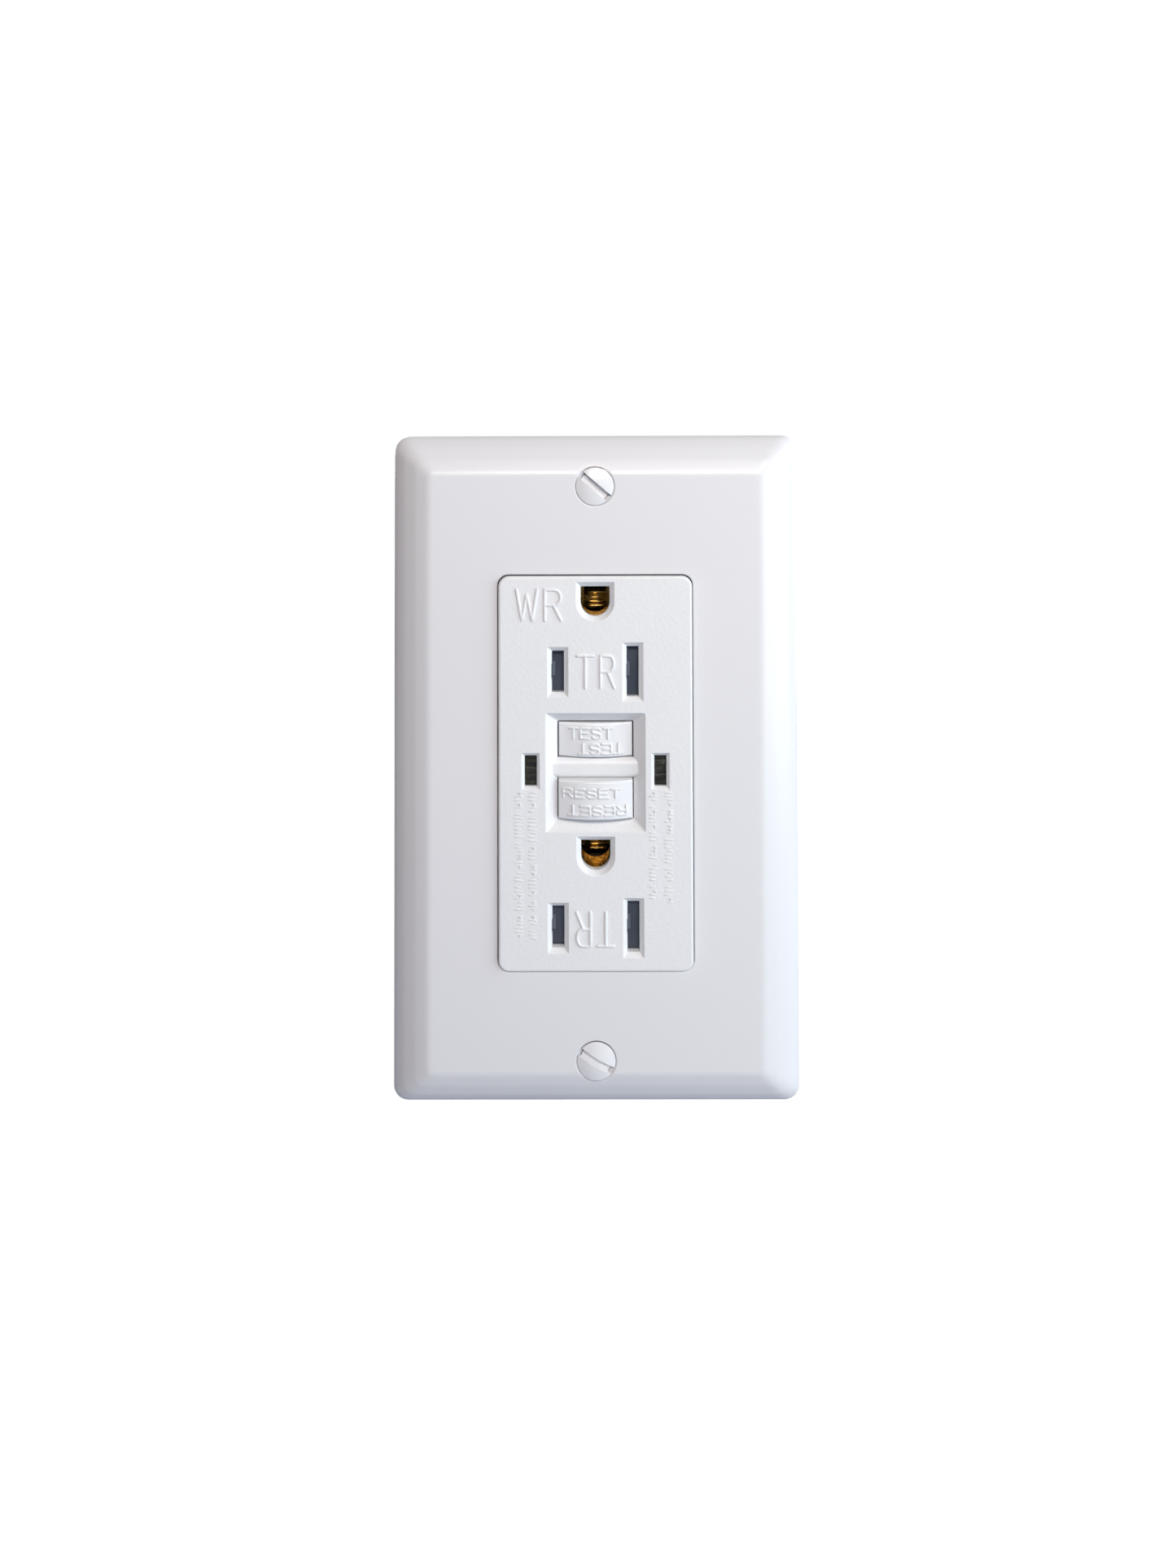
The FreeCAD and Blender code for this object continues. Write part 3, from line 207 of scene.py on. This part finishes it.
WHITE_PLATE = (0.80, 0.795, 0.815)
WHITE_FACE = (0.84, 0.845, 0.86)
mats = {
    "plate_plastic": plastic("plate_plastic", WHITE_PLATE, rough=0.27, spread=0.0, grain=0.10, edge=0.00022, edge_far=0.0016, vary=0.0),
    "face_plastic": plastic("face_plastic", WHITE_FACE, rough=0.36, spread=0.004, grain=0.9, grain_mm=0.34, edge=0.00016, vary=0.02, grain_deep=0.00006),
    "button_plastic": plastic("button_plastic", (0.84, 0.85, 0.87), rough=0.22, spread=0.004, grain=0.06, edge=0.00020, coat=0.25, vary=0.01),
    "white_paint": plastic("white_paint", (0.83, 0.83, 0.85), rough=0.28, spread=0.015, grain=0.25, grain_mm=0.3, edge=0.0001, coat=0.3),
    "steel": metal("steel", (0.56, 0.56, 0.57), 0.28, brushed=(1, 12, 1)),
    "spring_steel": metal("spring_steel", (0.46, 0.46, 0.47), 0.24),
    "zinc_steel": metal("zinc_steel", (0.66, 0.68, 0.70), 0.32, spread=0.07, scale=700.0, strength=0.2, tarnish=(0.52, 0.54, 0.58)),
    "green_steel": plastic("green_steel", (0.05, 0.30, 0.10), rough=0.3, spread=0.03, grain=0.2, grain_mm=0.3, edge=0.0001, coat=0.5),
    "fibre": plastic("fibre", (0.42, 0.22, 0.13), rough=0.75, spread=0.06, grain=0.7, grain_mm=0.25),
    "brass": metal("brass", (0.83, 0.62, 0.26), 0.26, spread=0.06, brushed=(1, 1, 9), tarnish=(0.66, 0.45, 0.18)),
    "brass_screw": metal("brass_screw", (0.80, 0.60, 0.27), 0.3, spread=0.05, tarnish=(0.62, 0.43, 0.18)),
    "nickel_screw": metal("nickel_screw", (0.74, 0.73, 0.70), 0.26, spread=0.05),
    "silver": metal("silver", (0.86, 0.86, 0.84), 0.2),
    "shutter_plastic": plastic("shutter_plastic", (0.060, 0.075, 0.105), rough=0.35, spread=0.012, grain=0.3, grain_mm=0.2),
    "tray_plastic": plastic("tray_plastic", (0.03, 0.033, 0.04), rough=0.5, spread=0.008, grain=0.3),
    "carrier_plastic": plastic("carrier_plastic", (0.018, 0.018, 0.020), rough=0.5, spread=0.006, grain=0.4),
    "carriage_plastic": plastic("carriage_plastic", (0.16, 0.035, 0.02), rough=0.45, spread=0.03, grain=0.3),
    "bobbin_plastic": plastic("bobbin_plastic", (0.70, 0.68, 0.58), rough=0.4, spread=0.03, grain=0.2),
    "board": plastic("board", (0.03, 0.16, 0.06), rough=0.3, spread=0.02, grain=0.5, grain_mm=0.5),
    "black_plastic": plastic("black_plastic", (0.015, 0.015, 0.017), rough=0.5, spread=0.006, grain=0.5),
    "varistor_blue": plastic("varistor_blue", (0.03, 0.10, 0.34), rough=0.3, spread=0.02, grain=0.3, grain_mm=0.6, coat=0.4),
    "capacitor_yellow": plastic("capacitor_yellow", (0.70, 0.48, 0.08), rough=0.3, spread=0.03, grain=0.2),
    "resistor_tan": plastic("resistor_tan", (0.50, 0.34, 0.19), rough=0.45, spread=0.05, grain=0.3),
    "housing_plastic": plastic("housing_plastic", (0.52, 0.53, 0.56), rough=0.48, spread=0.012, grain=0.45, grain_mm=0.22, edge=0.00025),
    "copper": wound("copper", (0.62, 0.25, 0.10), (0.22, 0.07, 0.03), 0.22, "Z"),
    "copper_ring": wound("copper_ring", (0.62, 0.25, 0.10), (0.22, 0.07, 0.03), 0.35, "DIAGONAL"),
}

# the frontmost face of each shutter, its ramp, is coloured lighter than the rest of the slider
nt = mats["shutter_plastic"].node_tree
b = nt.nodes["Principled BSDF"]
old = b.inputs["Base Color"].links[0].from_socket
tc = nt.nodes.new("ShaderNodeTexCoord").outputs["Object"]
sx = nt.nodes.new("ShaderNodeSeparateXYZ")
nt.links.new(tc, sx.inputs["Vector"])
mr = nt.nodes.new("ShaderNodeMapRange")
mr.inputs["From Min"].default_value = -0.00421
mr.inputs["From Max"].default_value = -0.00432
nt.links.new(sx.outputs["Y"], mr.inputs["Value"])
mixer = nt.nodes.new("ShaderNodeMix")
mixer.data_type = "RGBA"
mixer.inputs[7].default_value = (0.125, 0.15, 0.19, 1)
nt.links.new(mr.outputs["Result"], mixer.inputs["Factor"])
nt.links.new(old, mixer.inputs[6])
nt.links.new(mixer.outputs[2], b.inputs["Base Color"])

# clear light guide: painted shade, a dark olive base colour where nothing lights it, with painted glints as lighter
# noise patches
m, nt, b = new_mat("clear_guide")
tc = nt.nodes.new("ShaderNodeTexCoord").outputs["Object"]
n = noise(nt, 500.0, 3.0, 0.5, tc)
nt.links.new(ramp(nt, n, [(0.35, (0.020, 0.021, 0.014)), (0.62, (0.06, 0.062, 0.045)), (0.75, (0.20, 0.20, 0.15))]), b.inputs["Base Color"])
nt.links.new(span(nt, n, 0.08, 0.22), b.inputs["Roughness"])
b.inputs["Transmission Weight"].default_value = 0.35
b.inputs["IOR"].default_value = 1.49
bump(nt, b, [(n, 0.15, 0.00005)], 0.0002)
mats["clear_guide"] = m

m, nt, b = new_mat("lamp")
tc = nt.nodes.new("ShaderNodeTexCoord").outputs["Object"]
n = noise(nt, 600.0, 2.0, 0.5, tc)
nt.links.new(ramp(nt, n, [(0.3, (0.55, 0.72, 0.55)), (0.7, (0.72, 0.85, 0.70))]), b.inputs["Base Color"])
nt.links.new(span(nt, n, 0.06, 0.16), b.inputs["Roughness"])
b.inputs["Transmission Weight"].default_value = 0.6
bump(nt, b, [(n, 0.1, 0.00003)])
mats["lamp"] = m

slot_of = {s["node"]: s["material_slot"] for s in frame["record"]["subparts"]}
for name, o in nodes.items():
    slot = slot_of[name]
    mat = mats[slot]
    if name in ("sense_core", "neutral_core"):
        mat = mats["copper_ring"]
    if not o.material_slots:
        o.data.materials.append(mat)
    for ms in o.material_slots:
        ms.material = mat


# ------------------------------------------------------------------ mesh tools
def put(name, bm, mat, body, smooth=True):
    me = bpy.data.meshes.new(name)
    bm.normal_update()
    bm.to_mesh(me)
    bm.free()
    if smooth:
        for p in me.polygons:
            p.use_smooth = True
    o = bpy.data.objects.new(name, me)
    bpy.context.scene.collection.objects.link(o)
    me.materials.append(mat)
    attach(o, body)
    return o


def sweep_stroke(bm, pts, half_w, depth_fn, height, closed=False):
    """A raised moulded stroke: a low rounded ridge along pts (x, z in mm), standing on the surface y = depth_fn(x, z)."""
    n = len(pts)
    prof = [(-1.0, -0.6), (-0.96, 0.55), (-0.72, 0.93), (0.0, 1.0), (0.72, 0.93), (0.96, 0.55), (1.0, -0.6)]
    rings = []
    # dense samples so that the ridge follows a curved face
    dense = []
    for i in range(n - 1):
        (x0, z0), (x1, z1) = pts[i], pts[i + 1]
        k = max(1, int(math.hypot(x1 - x0, z1 - z0) / 0.35))
        for j in range(k):
            dense.append((x0 + (x1 - x0) * j / k, z0 + (z1 - z0) * j / k))
    dense.append(pts[-1])
    m = len(dense)
    for i, (x, z) in enumerate(dense):
        a = dense[max(0, i - 1)]
        b = dense[min(m - 1, i + 1)]
        tx, tz = b[0] - a[0], b[1] - a[1]
        L = math.hypot(tx, tz) or 1.0
        nx, nz = -tz / L, tx / L
        # mitre the corner
        s = 1.0
        if 0 < i < m - 1:
            ux, uz = x - a[0], z - a[1]
            U = math.hypot(ux, uz) or 1.0
            c = (ux * tx + uz * tz) / (U * L)
            s = 1.0 / max(0.75, abs(c))
        ring = []
        for q, hgt in prof:
            px, pz = x + nx * half_w * q * s, z + nz * half_w * q * s
            ring.append(bm.verts.new((px * MM, (depth_fn(px, pz) - height * hgt) * MM, pz * MM)))
        rings.append(ring)
    for r0, r1 in zip(rings, rings[1:]):
        for k in range(len(prof) - 1):
            bm.faces.new((r0[k], r0[k + 1], r1[k + 1], r1[k]))
    # rounded ends
    for ring, (x, z), d in ((rings[0], dense[0], -1), (rings[-1], dense[-1], 1)):
        a = dense[1] if d < 0 else dense[-2]
        tx, tz = (x - a[0]), (z - a[1])
        L = math.hypot(tx, tz) or 1.0
        tx, tz = tx / L, tz / L
        nx, nz = (-tz, tx) if d > 0 else (tz, -tx)
        prev = ring
        for step in (1, 2, 3):
            ang = step / 3 * math.pi / 2 * 0.98
            cw, fwd = math.cos(ang), math.sin(ang)
            row = []
            for q, hgt in prof:
                px = x + nx * half_w * q * cw + tx * half_w * fwd
                pz = z + nz * half_w * q * cw + tz * half_w * fwd
                hh = hgt if hgt < 0 else hgt * max(0.25, cw) ** 0.5
                row.append(bm.verts.new((px * MM, (depth_fn(px, pz) - height * hh) * MM, pz * MM)))
            for k in range(len(prof) - 1):
                f = (prev[k], prev[k + 1], row[k + 1], row[k])
                bm.faces.new(f if d > 0 else tuple(reversed(f)))
            prev = row
        bm.faces.new(prev if d > 0 else list(reversed(prev)))


def arc_pts(cx, cz, rx, rz, a0, a1, k=7):
    return [(cx + rx * math.cos(math.radians(a0 + (a1 - a0) * i / k)), cz + rz * math.sin(math.radians(a0 + (a1 - a0) * i / k))) for i in range(k + 1)]


# plain single-stroke capitals in a unit box
GLYPH = {
    "T": [[(0, 1), (1, 1)], [(0.5, 1), (0.5, 0)]],
    "E": [[(1, 1), (0, 1), (0, 0), (1, 0)], [(0, 0.52), (0.85, 0.52)]],
    "S": [arc_pts(0.5, 0.76, 0.47, 0.24, 25, 180) + arc_pts(0.5, 0.76, 0.47, 0.24, 180, 270)[1:] + arc_pts(0.5, 0.26, 0.48, 0.26, 90, 0)[1:] + arc_pts(0.5, 0.26, 0.48, 0.26, 0, -155)[1:]],
    "R": [[(0, 0), (0, 1), (0.6, 1)] + arc_pts(0.62, 0.75, 0.36, 0.25, 90, -90)[1:] + [(0, 0.5)], [(0.52, 0.5), (1, 0)]],
    "W": [[(0, 1), (0.25, 0), (0.5, 0.85), (0.75, 0), (1, 1)]],
}


def word(name, text, x0, x1, z0, z1, half_w, height, depth_fn, mat, body, gap=0.24, flip=False):
    bm = bmesh.new()
    n = len(text)
    inset = half_w
    w_all = (x1 - x0) - 2 * inset
    cw = w_all / (n + gap * (n - 1))
    for i, ch in enumerate(text):
        ox = x0 + inset + i * cw * (1 + gap)
        for stroke in GLYPH[ch]:
            pts = [(ox + px * cw, z0 + inset + pz * ((z1 - z0) - 2 * inset)) for px, pz in stroke]
            if flip:
                pts = [(x0 + x1 - px, z0 + z1 - pz) for px, pz in pts]
            sweep_stroke(bm, pts, half_w, depth_fn, height)
    bmesh.ops.recalc_face_normals(bm, faces=bm.faces)
    return put(name, bm, mat, body)


flat = lambda x, z: -6.4
CROWN = 17.0


def crown(front):
    return lambda x, z: front + CROWN - math.sqrt(max(0.0, CROWN * CROWN - x * x))


face_m, button_m = mats["face_plastic"], mats["button_plastic"]
word("mark_upper_left_w", "W", -13.58, -9.55, 25.55, 31.20, 0.27, 0.20, flat, face_m, "device")
word("mark_upper_left_r", "R", -8.80, -5.50, 25.55, 31.20, 0.27, 0.20, flat, face_m, "device")
word("mark_upper_t", "T", -3.30, -0.10, 14.15, 20.06, 0.26, 0.20, flat, face_m, "device")
word("mark_upper_r", "R", 0.62, 3.45, 14.15, 20.06, 0.26, 0.20, flat, face_m, "device")
word("mark_lower_t", "T", 0.05, 3.25, -29.08, -22.95, 0.26, 0.20, flat, face_m, "device", flip=True)
word("mark_lower_r", "R", -3.50, -0.67, -29.08, -22.95, 0.26, 0.20, flat, face_m, "device", flip=True)
tf, rf = crown(-5.5), crown(-6.9)
word("test_mark", "TEST", -4.75, 3.11, 5.41, 7.55, 0.21, 0.22, tf, button_m, "test_button_body", gap=0.30)
word("test_mark_turned", "TEST", -3.10, 4.88, 2.85, 4.91, 0.21, 0.22, tf, button_m, "test_button_body", gap=0.30, flip=True)
word("reset_mark", "RESET", -5.70, 4.35, -4.15, -2.30, 0.21, 0.22, rf, button_m, "reset_button_body", gap=0.30)
word("reset_mark_turned", "RESET", -4.86, 5.41, -7.10, -5.15, 0.21, 0.22, rf, button_m, "reset_button_body", gap=0.30, flip=True)

# columns of small raised dashes in place of the fine moulded instructions
for name, x0, x1, z0, z1 in (
    ("note_column_1", -13.65, -12.25, -28.0, -3.2),
    ("note_column_2", -11.35, -9.95, -28.0, -3.2),
    ("note_column_3", 9.05, 10.45, -22.3, -3.2),
    ("note_column_4", 11.65, 13.05, -22.3, -3.2),
):
    bm = bmesh.new()
    z = z1
    while z > z0 + 0.6:
        group = rng.choice((3, 4, 5, 6, 7))
        for _ in range(group):
            if z < z0 + 0.4:
                break
            kind = rng.random()
            a = x0 + (0.0 if kind < 0.55 else 0.5)
            b2 = x1 - (0.0 if kind > 0.3 else 0.35)
            sweep_stroke(bm, [(a + 0.1, z), (b2 - 0.1, z)], 0.10, flat, 0.12)
            if kind > 0.7:
                sweep_stroke(bm, [((a + b2) / 2, z), ((a + b2) / 2, z - 0.36)], 0.10, flat, 0.12)
            z -= 0.62
        z -= 0.55
    bmesh.ops.recalc_face_normals(bm, faces=bm.faces)
    put(name, bm, face_m, "device")


# screw threads: helical ridges round the plain shanks
def thread(name, axis, cx, cz, y0, y1, r, pitch, height, mat, body):
    """axis 'y': shank along +Y at (cx, cz); axis 'x': shank along X at y=cx, z=cz."""
    bm = bmesh.new()
    seg = 24
    total = int((y1 - y0) / pitch * seg)
    prof = [(-0.5, -0.02), (-0.12, 1.0), (0.12, 1.0), (0.5, -0.02)]
    prev = None
    for i in range(total + 1):
        t = i / seg * 2 * math.pi
        y = y0 + i / seg * pitch
        fade = min(1.0, i / seg * 2, (total - i) / seg * 2)
        ring = []
        for q, hgt in prof:
            rr = r - 0.03 + (height + 0.03) * max(0.0, hgt) * fade
            yy = y + q * pitch * 0.92
            ca, sa = math.cos(t) * rr, math.sin(t) * rr
            p = (cx + ca, yy, cz + sa) if axis == "y" else (yy, cx + ca, cz + sa)
            ring.append(bm.verts.new(tuple(v * MM for v in p)))
        if prev:
            for k in range(3):
                bm.faces.new((prev[k], prev[k + 1], ring[k + 1], ring[k]))
            bm.faces.new((prev[3], prev[0], ring[0], ring[3]))
        else:
            bm.faces.new(ring)
        prev = ring
    bm.faces.new(list(reversed(prev)))
    bmesh.ops.recalc_face_normals(bm, faces=bm.faces)
    return put(name, bm, mat, body)


for i, zc in enumerate((41.67, -41.67)):
    thread("box_screw_thread_%d" % i, "y", 0.0, zc, 1.4, 21.0, 1.75, 0.794, 0.16, mats["zinc_steel"], "device")
for i, zc in enumerate((48.42, -48.42)):
    thread("plate_screw_thread_%d" % i, "y", 0.0, zc, 0.3, 4.6, 1.7, 0.794, 0.14, mats["white_paint"], "device")


# ------------------------------------------------------------------ rear housing details
def ridge_frame(name, x0, x1, z0, z1, y, w, h, mat, body):
    bm = bmesh.new()
    out = [(x0, z0), (x1, z0), (x1, z1), (x0, z1)]
    prof = [(0, 0.05), (0.15, -h), (w - 0.15, -h), (w, 0.05)]
    cols = []
    for (cx, cz), (sx, sz) in zip(out, ((1, 1), (-1, 1), (-1, -1), (1, -1))):
        cols.append([bm.verts.new(((cx + sx * q) * MM, (y - hh) * MM, (cz + sz * q) * MM)) for q, hh in prof])
    for a, c in zip(cols, cols[1:] + cols[:1]):
        for k in range(3):
            bm.faces.new((a[k], a[k + 1], c[k + 1], c[k]))
        bm.faces.new((a[3], a[0], c[0], c[3]))
    bmesh.ops.recalc_face_normals(bm, faces=bm.faces)
    return put(name, bm, mat, body, smooth=False)


hm = mats["housing_plastic"]
lo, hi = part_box("rear_housing")
back = hi[1] / MM
ridge_frame("back_panel_frame", -14.5, 14.5, -28.0, 28.0, back, 0.8, 0.35, hm, "device")
ridge_frame("strip_gauge", -7.5, 7.5, 20.0, 23.2, back, 0.5, 0.3, hm, "device")

# ------------------------------------------------------------------ painted shade: dark bands lining the gaps where parts meet
def line_frame(name, x1, z1, corner, w, y0, y1, zc, mat, body):
    """A thin closed band lining a gap: outer size x1 by z1 (half sizes, mm), w wide, from y0 back to y1."""
    bm = bmesh.new()
    path = []
    for cx, cz, a0 in ((1, 1, 0), (-1, 1, 90), (-1, -1, 180), (1, -1, 270)):
        for k in range(7):
            a = math.radians(a0 + 90 * k / 6)
            path.append((cx * (x1 - corner), cz * (z1 - corner), math.cos(a), math.sin(a)))
    rows = []
    for px, pz, ux, uz in path:
        row = []
        for q, y in ((0.0, y1), (0.0, y0), (-w, y0), (-w, y1)):
            row.append(bm.verts.new(((px + ux * (corner + q)) * MM, y * MM, (zc + pz + uz * (corner + q)) * MM)))
        rows.append(row)
    for a, c in zip(rows, rows[1:] + rows[:1]):
        for k in range(4):
            bm.faces.new((a[k], a[(k + 1) % 4], c[(k + 1) % 4], c[k]))
    bmesh.ops.recalc_face_normals(bm, faces=bm.faces)
    return put(name, bm, mat, body, smooth=False)


# painted shade: a dark material for bands set into gaps where there is only shade
mats["shadow_line"] = plastic("shadow_line", (0.055, 0.045, 0.065), rough=0.8, spread=0.02, grain=0.4, grain_mm=0.3)
line_frame("face_gap_shade_band", 16.645, 33.39, 1.88, 0.17, -4.95, -4.3, 0.0, mats["shadow_line"], "device")
line_frame("button_gap_shade_band", 6.49, 8.29, 0.29, 0.16, -4.05, -3.5, 0.15, mats["shadow_line"], "device")
# painted shade: a dark ring in the countersink gap round each plate screw
for i, zc in enumerate((48.42, -48.42)):
    bm = bmesh.new()
    rows = []
    for k in range(48):
        a = 2 * math.pi * k / 48
        rows.append([bm.verts.new((r * math.cos(a) * MM, y * MM, (zc + r * math.sin(a)) * MM)) for r, y in ((3.30, -5.36), (3.36, -5.40), (3.03, -5.08), (2.97, -5.04))])
    for a, c in zip(rows, rows[1:] + rows[:1]):
        for k in range(4):
            bm.faces.new((a[k], a[(k + 1) % 4], c[(k + 1) % 4], c[k]))
    bmesh.ops.recalc_face_normals(bm, faces=bm.faces)
    put("plate_screw_shadow_ring_%d" % i, bm, mats["shadow_line"], "device")

# ribbed tongues of the ground contacts, seen through the pin holes
for name, zc in (("upper", 28.85), ("lower", -13.95)):
    bm = bmesh.new()
    for k in range(4):
        z = zc - 1.75 + 0.80 * k
        ring0 = None
        prof = [(math.cos(math.radians(t)) * 0.30, math.sin(math.radians(t)) * 0.30) for t in range(0, 360, 45)]
        for x in (-1.25, -1.1, 0.3, 1.75, 1.9):
            sc = 0.45 if x in (-1.25, 1.9) else 1.0
            ring = [bm.verts.new((x * MM, (2.75 + a * sc) * MM, (z + b2 * sc) * MM)) for a, b2 in prof]
            if ring0:
                for j in range(8):
                    bm.faces.new((ring0[j], ring0[(j + 1) % 8], ring[(j + 1) % 8], ring[j]))
            else:
                bm.faces.new(ring)
            ring0 = ring
        bm.faces.new(list(reversed(ring0)))
    # backing leaf with turned-in sides
    cols = []
    for x, y in ((-1.92, 3.8), (-1.86, 3.15), (-1.6, 2.98), (1.6, 2.98), (1.86, 3.15), (1.92, 3.8)):
        cols.append([bm.verts.new((x * MM, (y + t) * MM, (zc + zz) * MM)) for zz, t in ((-2.35, 0), (1.25, 0), (1.25, 0.12), (-2.35, 0.12))])
    for a, c in zip(cols, cols[1:]):
        for k in range(4):
            bm.faces.new((a[k], a[(k + 1) % 4], c[(k + 1) % 4], c[k]))
    bm.faces.new(cols[0])
    bm.faces.new(list(reversed(cols[-1])))
    bmesh.ops.recalc_face_normals(bm, faces=bm.faces)
    put(name + "_ground_tongue", bm, mats["brass"], "device")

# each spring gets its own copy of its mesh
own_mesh(nodes["test_spring"])
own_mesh(nodes["reset_spring"])
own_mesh(nodes["latch_spring"])
for side, zc in (("upper", 0.01705), ("lower", -0.02585)):
    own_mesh(nodes[side + "_shutter_spring"])

# ------------------------------------------------------------------ stage, light, camera
bm = bmesh.new()
bmesh.ops.create_grid(bm, x_segments=2, y_segments=2, size=1.2)
me = bpy.data.meshes.new("floor")
bm.to_mesh(me)
bm.free()
floor = bpy.data.objects.new("floor", me)
floor.location = (0, 0.0, -0.125)
bpy.context.scene.collection.objects.link(floor)
fm = bpy.data.materials.new("floor")
fm.use_nodes = True
ft = fm.node_tree
fb = ft.nodes["Principled BSDF"]
fb.inputs["Base Color"].default_value = (0.30, 0.34, 0.42, 1)
fb.inputs["Roughness"].default_value = 0.9
em = ft.nodes.new("ShaderNodeEmission")
em.inputs["Color"].default_value = (1, 1, 1, 1)
em.inputs["Strength"].default_value = 1.0
lp = ft.nodes.new("ShaderNodeLightPath")
mx = ft.nodes.new("ShaderNodeMixShader")
ft.links.new(lp.outputs["Is Camera Ray"], mx.inputs["Fac"])
ft.links.new(fb.outputs["BSDF"], mx.inputs[1])
ft.links.new(em.outputs["Emission"], mx.inputs[2])
ft.links.new(mx.outputs["Shader"], ft.nodes["Material Output"].inputs["Surface"])
me.materials.append(fm)

world = bpy.data.worlds.new("studio")
bpy.context.scene.world = world
world.use_nodes = True
wt = world.node_tree
for n in list(wt.nodes):
    wt.nodes.remove(n)
out = wt.nodes.new("ShaderNodeOutputWorld")
tc = wt.nodes.new("ShaderNodeTexCoord")
sep = wt.nodes.new("ShaderNodeSeparateXYZ")
wt.links.new(tc.outputs["Generated"], sep.inputs["Vector"])


def lobe(axis, sign, lo, hi, color, strength):
    """A smooth patch of sky towards one axis direction."""
    mr = wt.nodes.new("ShaderNodeMapRange")
    mr.interpolation_type = "SMOOTHSTEP"
    mr.inputs["From Min"].default_value = sign * lo
    mr.inputs["From Max"].default_value = sign * hi
    wt.links.new(sep.outputs[axis], mr.inputs["Value"])
    bg = wt.nodes.new("ShaderNodeBackground")
    bg.inputs["Color"].default_value = (*color, 1)
    mult = wt.nodes.new("ShaderNodeMath")
    mult.operation = "MULTIPLY"
    mult.inputs[1].default_value = strength
    wt.links.new(mr.outputs["Result"], mult.inputs[0])
    wt.links.new(mult.outputs[0], bg.inputs["Strength"])
    return bg


SKY = [
    ("all", "Z", 1, -3.0, -2.0, (1.15, 1.0, 0.85), 0.014),
    ("right", "X", 1, 0.0, 1.0, (0.3, 1.0, 2.6), 0.08),
    ("back", "Y", 1, 0.0, 1.0, (1, 1, 1), 0.5),
]
bg1 = None
for _, axis, sign, lo_, hi_, col, power in SKY:
    part = lobe(axis, sign, lo_, hi_, col, power)
    if bg1 is None:
        bg1 = part
    else:
        add = wt.nodes.new("ShaderNodeAddShader")
        wt.links.new(bg1.outputs[0], add.inputs[0])
        wt.links.new(part.outputs[0], add.inputs[1])
        bg1 = add
bg2 = wt.nodes.new("ShaderNodeBackground")
bg2.inputs["Color"].default_value = (1, 1, 1, 1)
bg2.inputs["Strength"].default_value = 1.0
wl = wt.nodes.new("ShaderNodeLightPath")
wm = wt.nodes.new("ShaderNodeMixShader")
wt.links.new(wl.outputs["Is Camera Ray"], wm.inputs["Fac"])
wt.links.new(bg1.outputs[0], wm.inputs[1])
wt.links.new(bg2.outputs["Background"], wm.inputs[2])
wt.links.new(wm.outputs["Shader"], out.inputs["Surface"])


def area(name, loc, target, size, power, color=(1, 1, 1)):
    d = bpy.data.lights.new(name, "AREA")
    d.shape = "RECTANGLE"
    d.size, d.size_y = size
    d.energy = power
    d.color = color
    o = bpy.data.objects.new(name, d)
    o.location = loc
    o.rotation_euler = (Vector(target) - Vector(loc)).to_track_quat("-Z", "Y").to_euler()
    bpy.context.scene.collection.objects.link(o)
    return o


# name, place, target, size, watts, colour
LAMPS = [
    ("right_softbox", (0.42, -0.22, 0.06), (0, 0, 0), (0.34, 0.5), 1.88, (0.89, 1.01, 1.05)),
    ("front_softbox", (0.06, -0.42, 0.26), (0, 0, 0.02), (0.30, 0.12), 1.56, (1.08, 0.99, 0.93)),
    ("back_left", (-0.30, 0.40, 0.22), (0, 0.01, 0), (0.35, 0.35), 1.6, (1, 1, 1)),
    ("back_right", (0.36, 0.26, 0.10), (0, 0.01, 0), (0.25, 0.35), 0.9, (1, 1, 1)),
]
for lamp in LAMPS:
    area(*lamp)

scene = bpy.context.scene
scene.view_settings.view_transform = "Standard"
scene.view_settings.look = "None"

cam_data = bpy.data.cameras.new("camera")
cam_data.sensor_width = 36.0
cam_data.sensor_fit = "AUTO"
cam_data.lens = 1255.9 / 1926 * 36
cam_data.shift_x = -2.854 / 1926
cam_data.shift_y = -414.2 / 1926
cam_data.clip_start, cam_data.clip_end = 0.01, 10
cam_data.dof.use_dof = False
cam = bpy.data.objects.new("camera", cam_data)
scene.collection.objects.link(cam)
R = Euler((0.020574, 0.0027034, 0.0025252), "XYZ").to_matrix() @ Euler((math.pi / 2, 0, 0)).to_matrix()
cam.matrix_world = Matrix.Translation(Vector((-0.306394, -180.0, 51.58616)) * MM) @ R.to_4x4()
scene.camera = cam
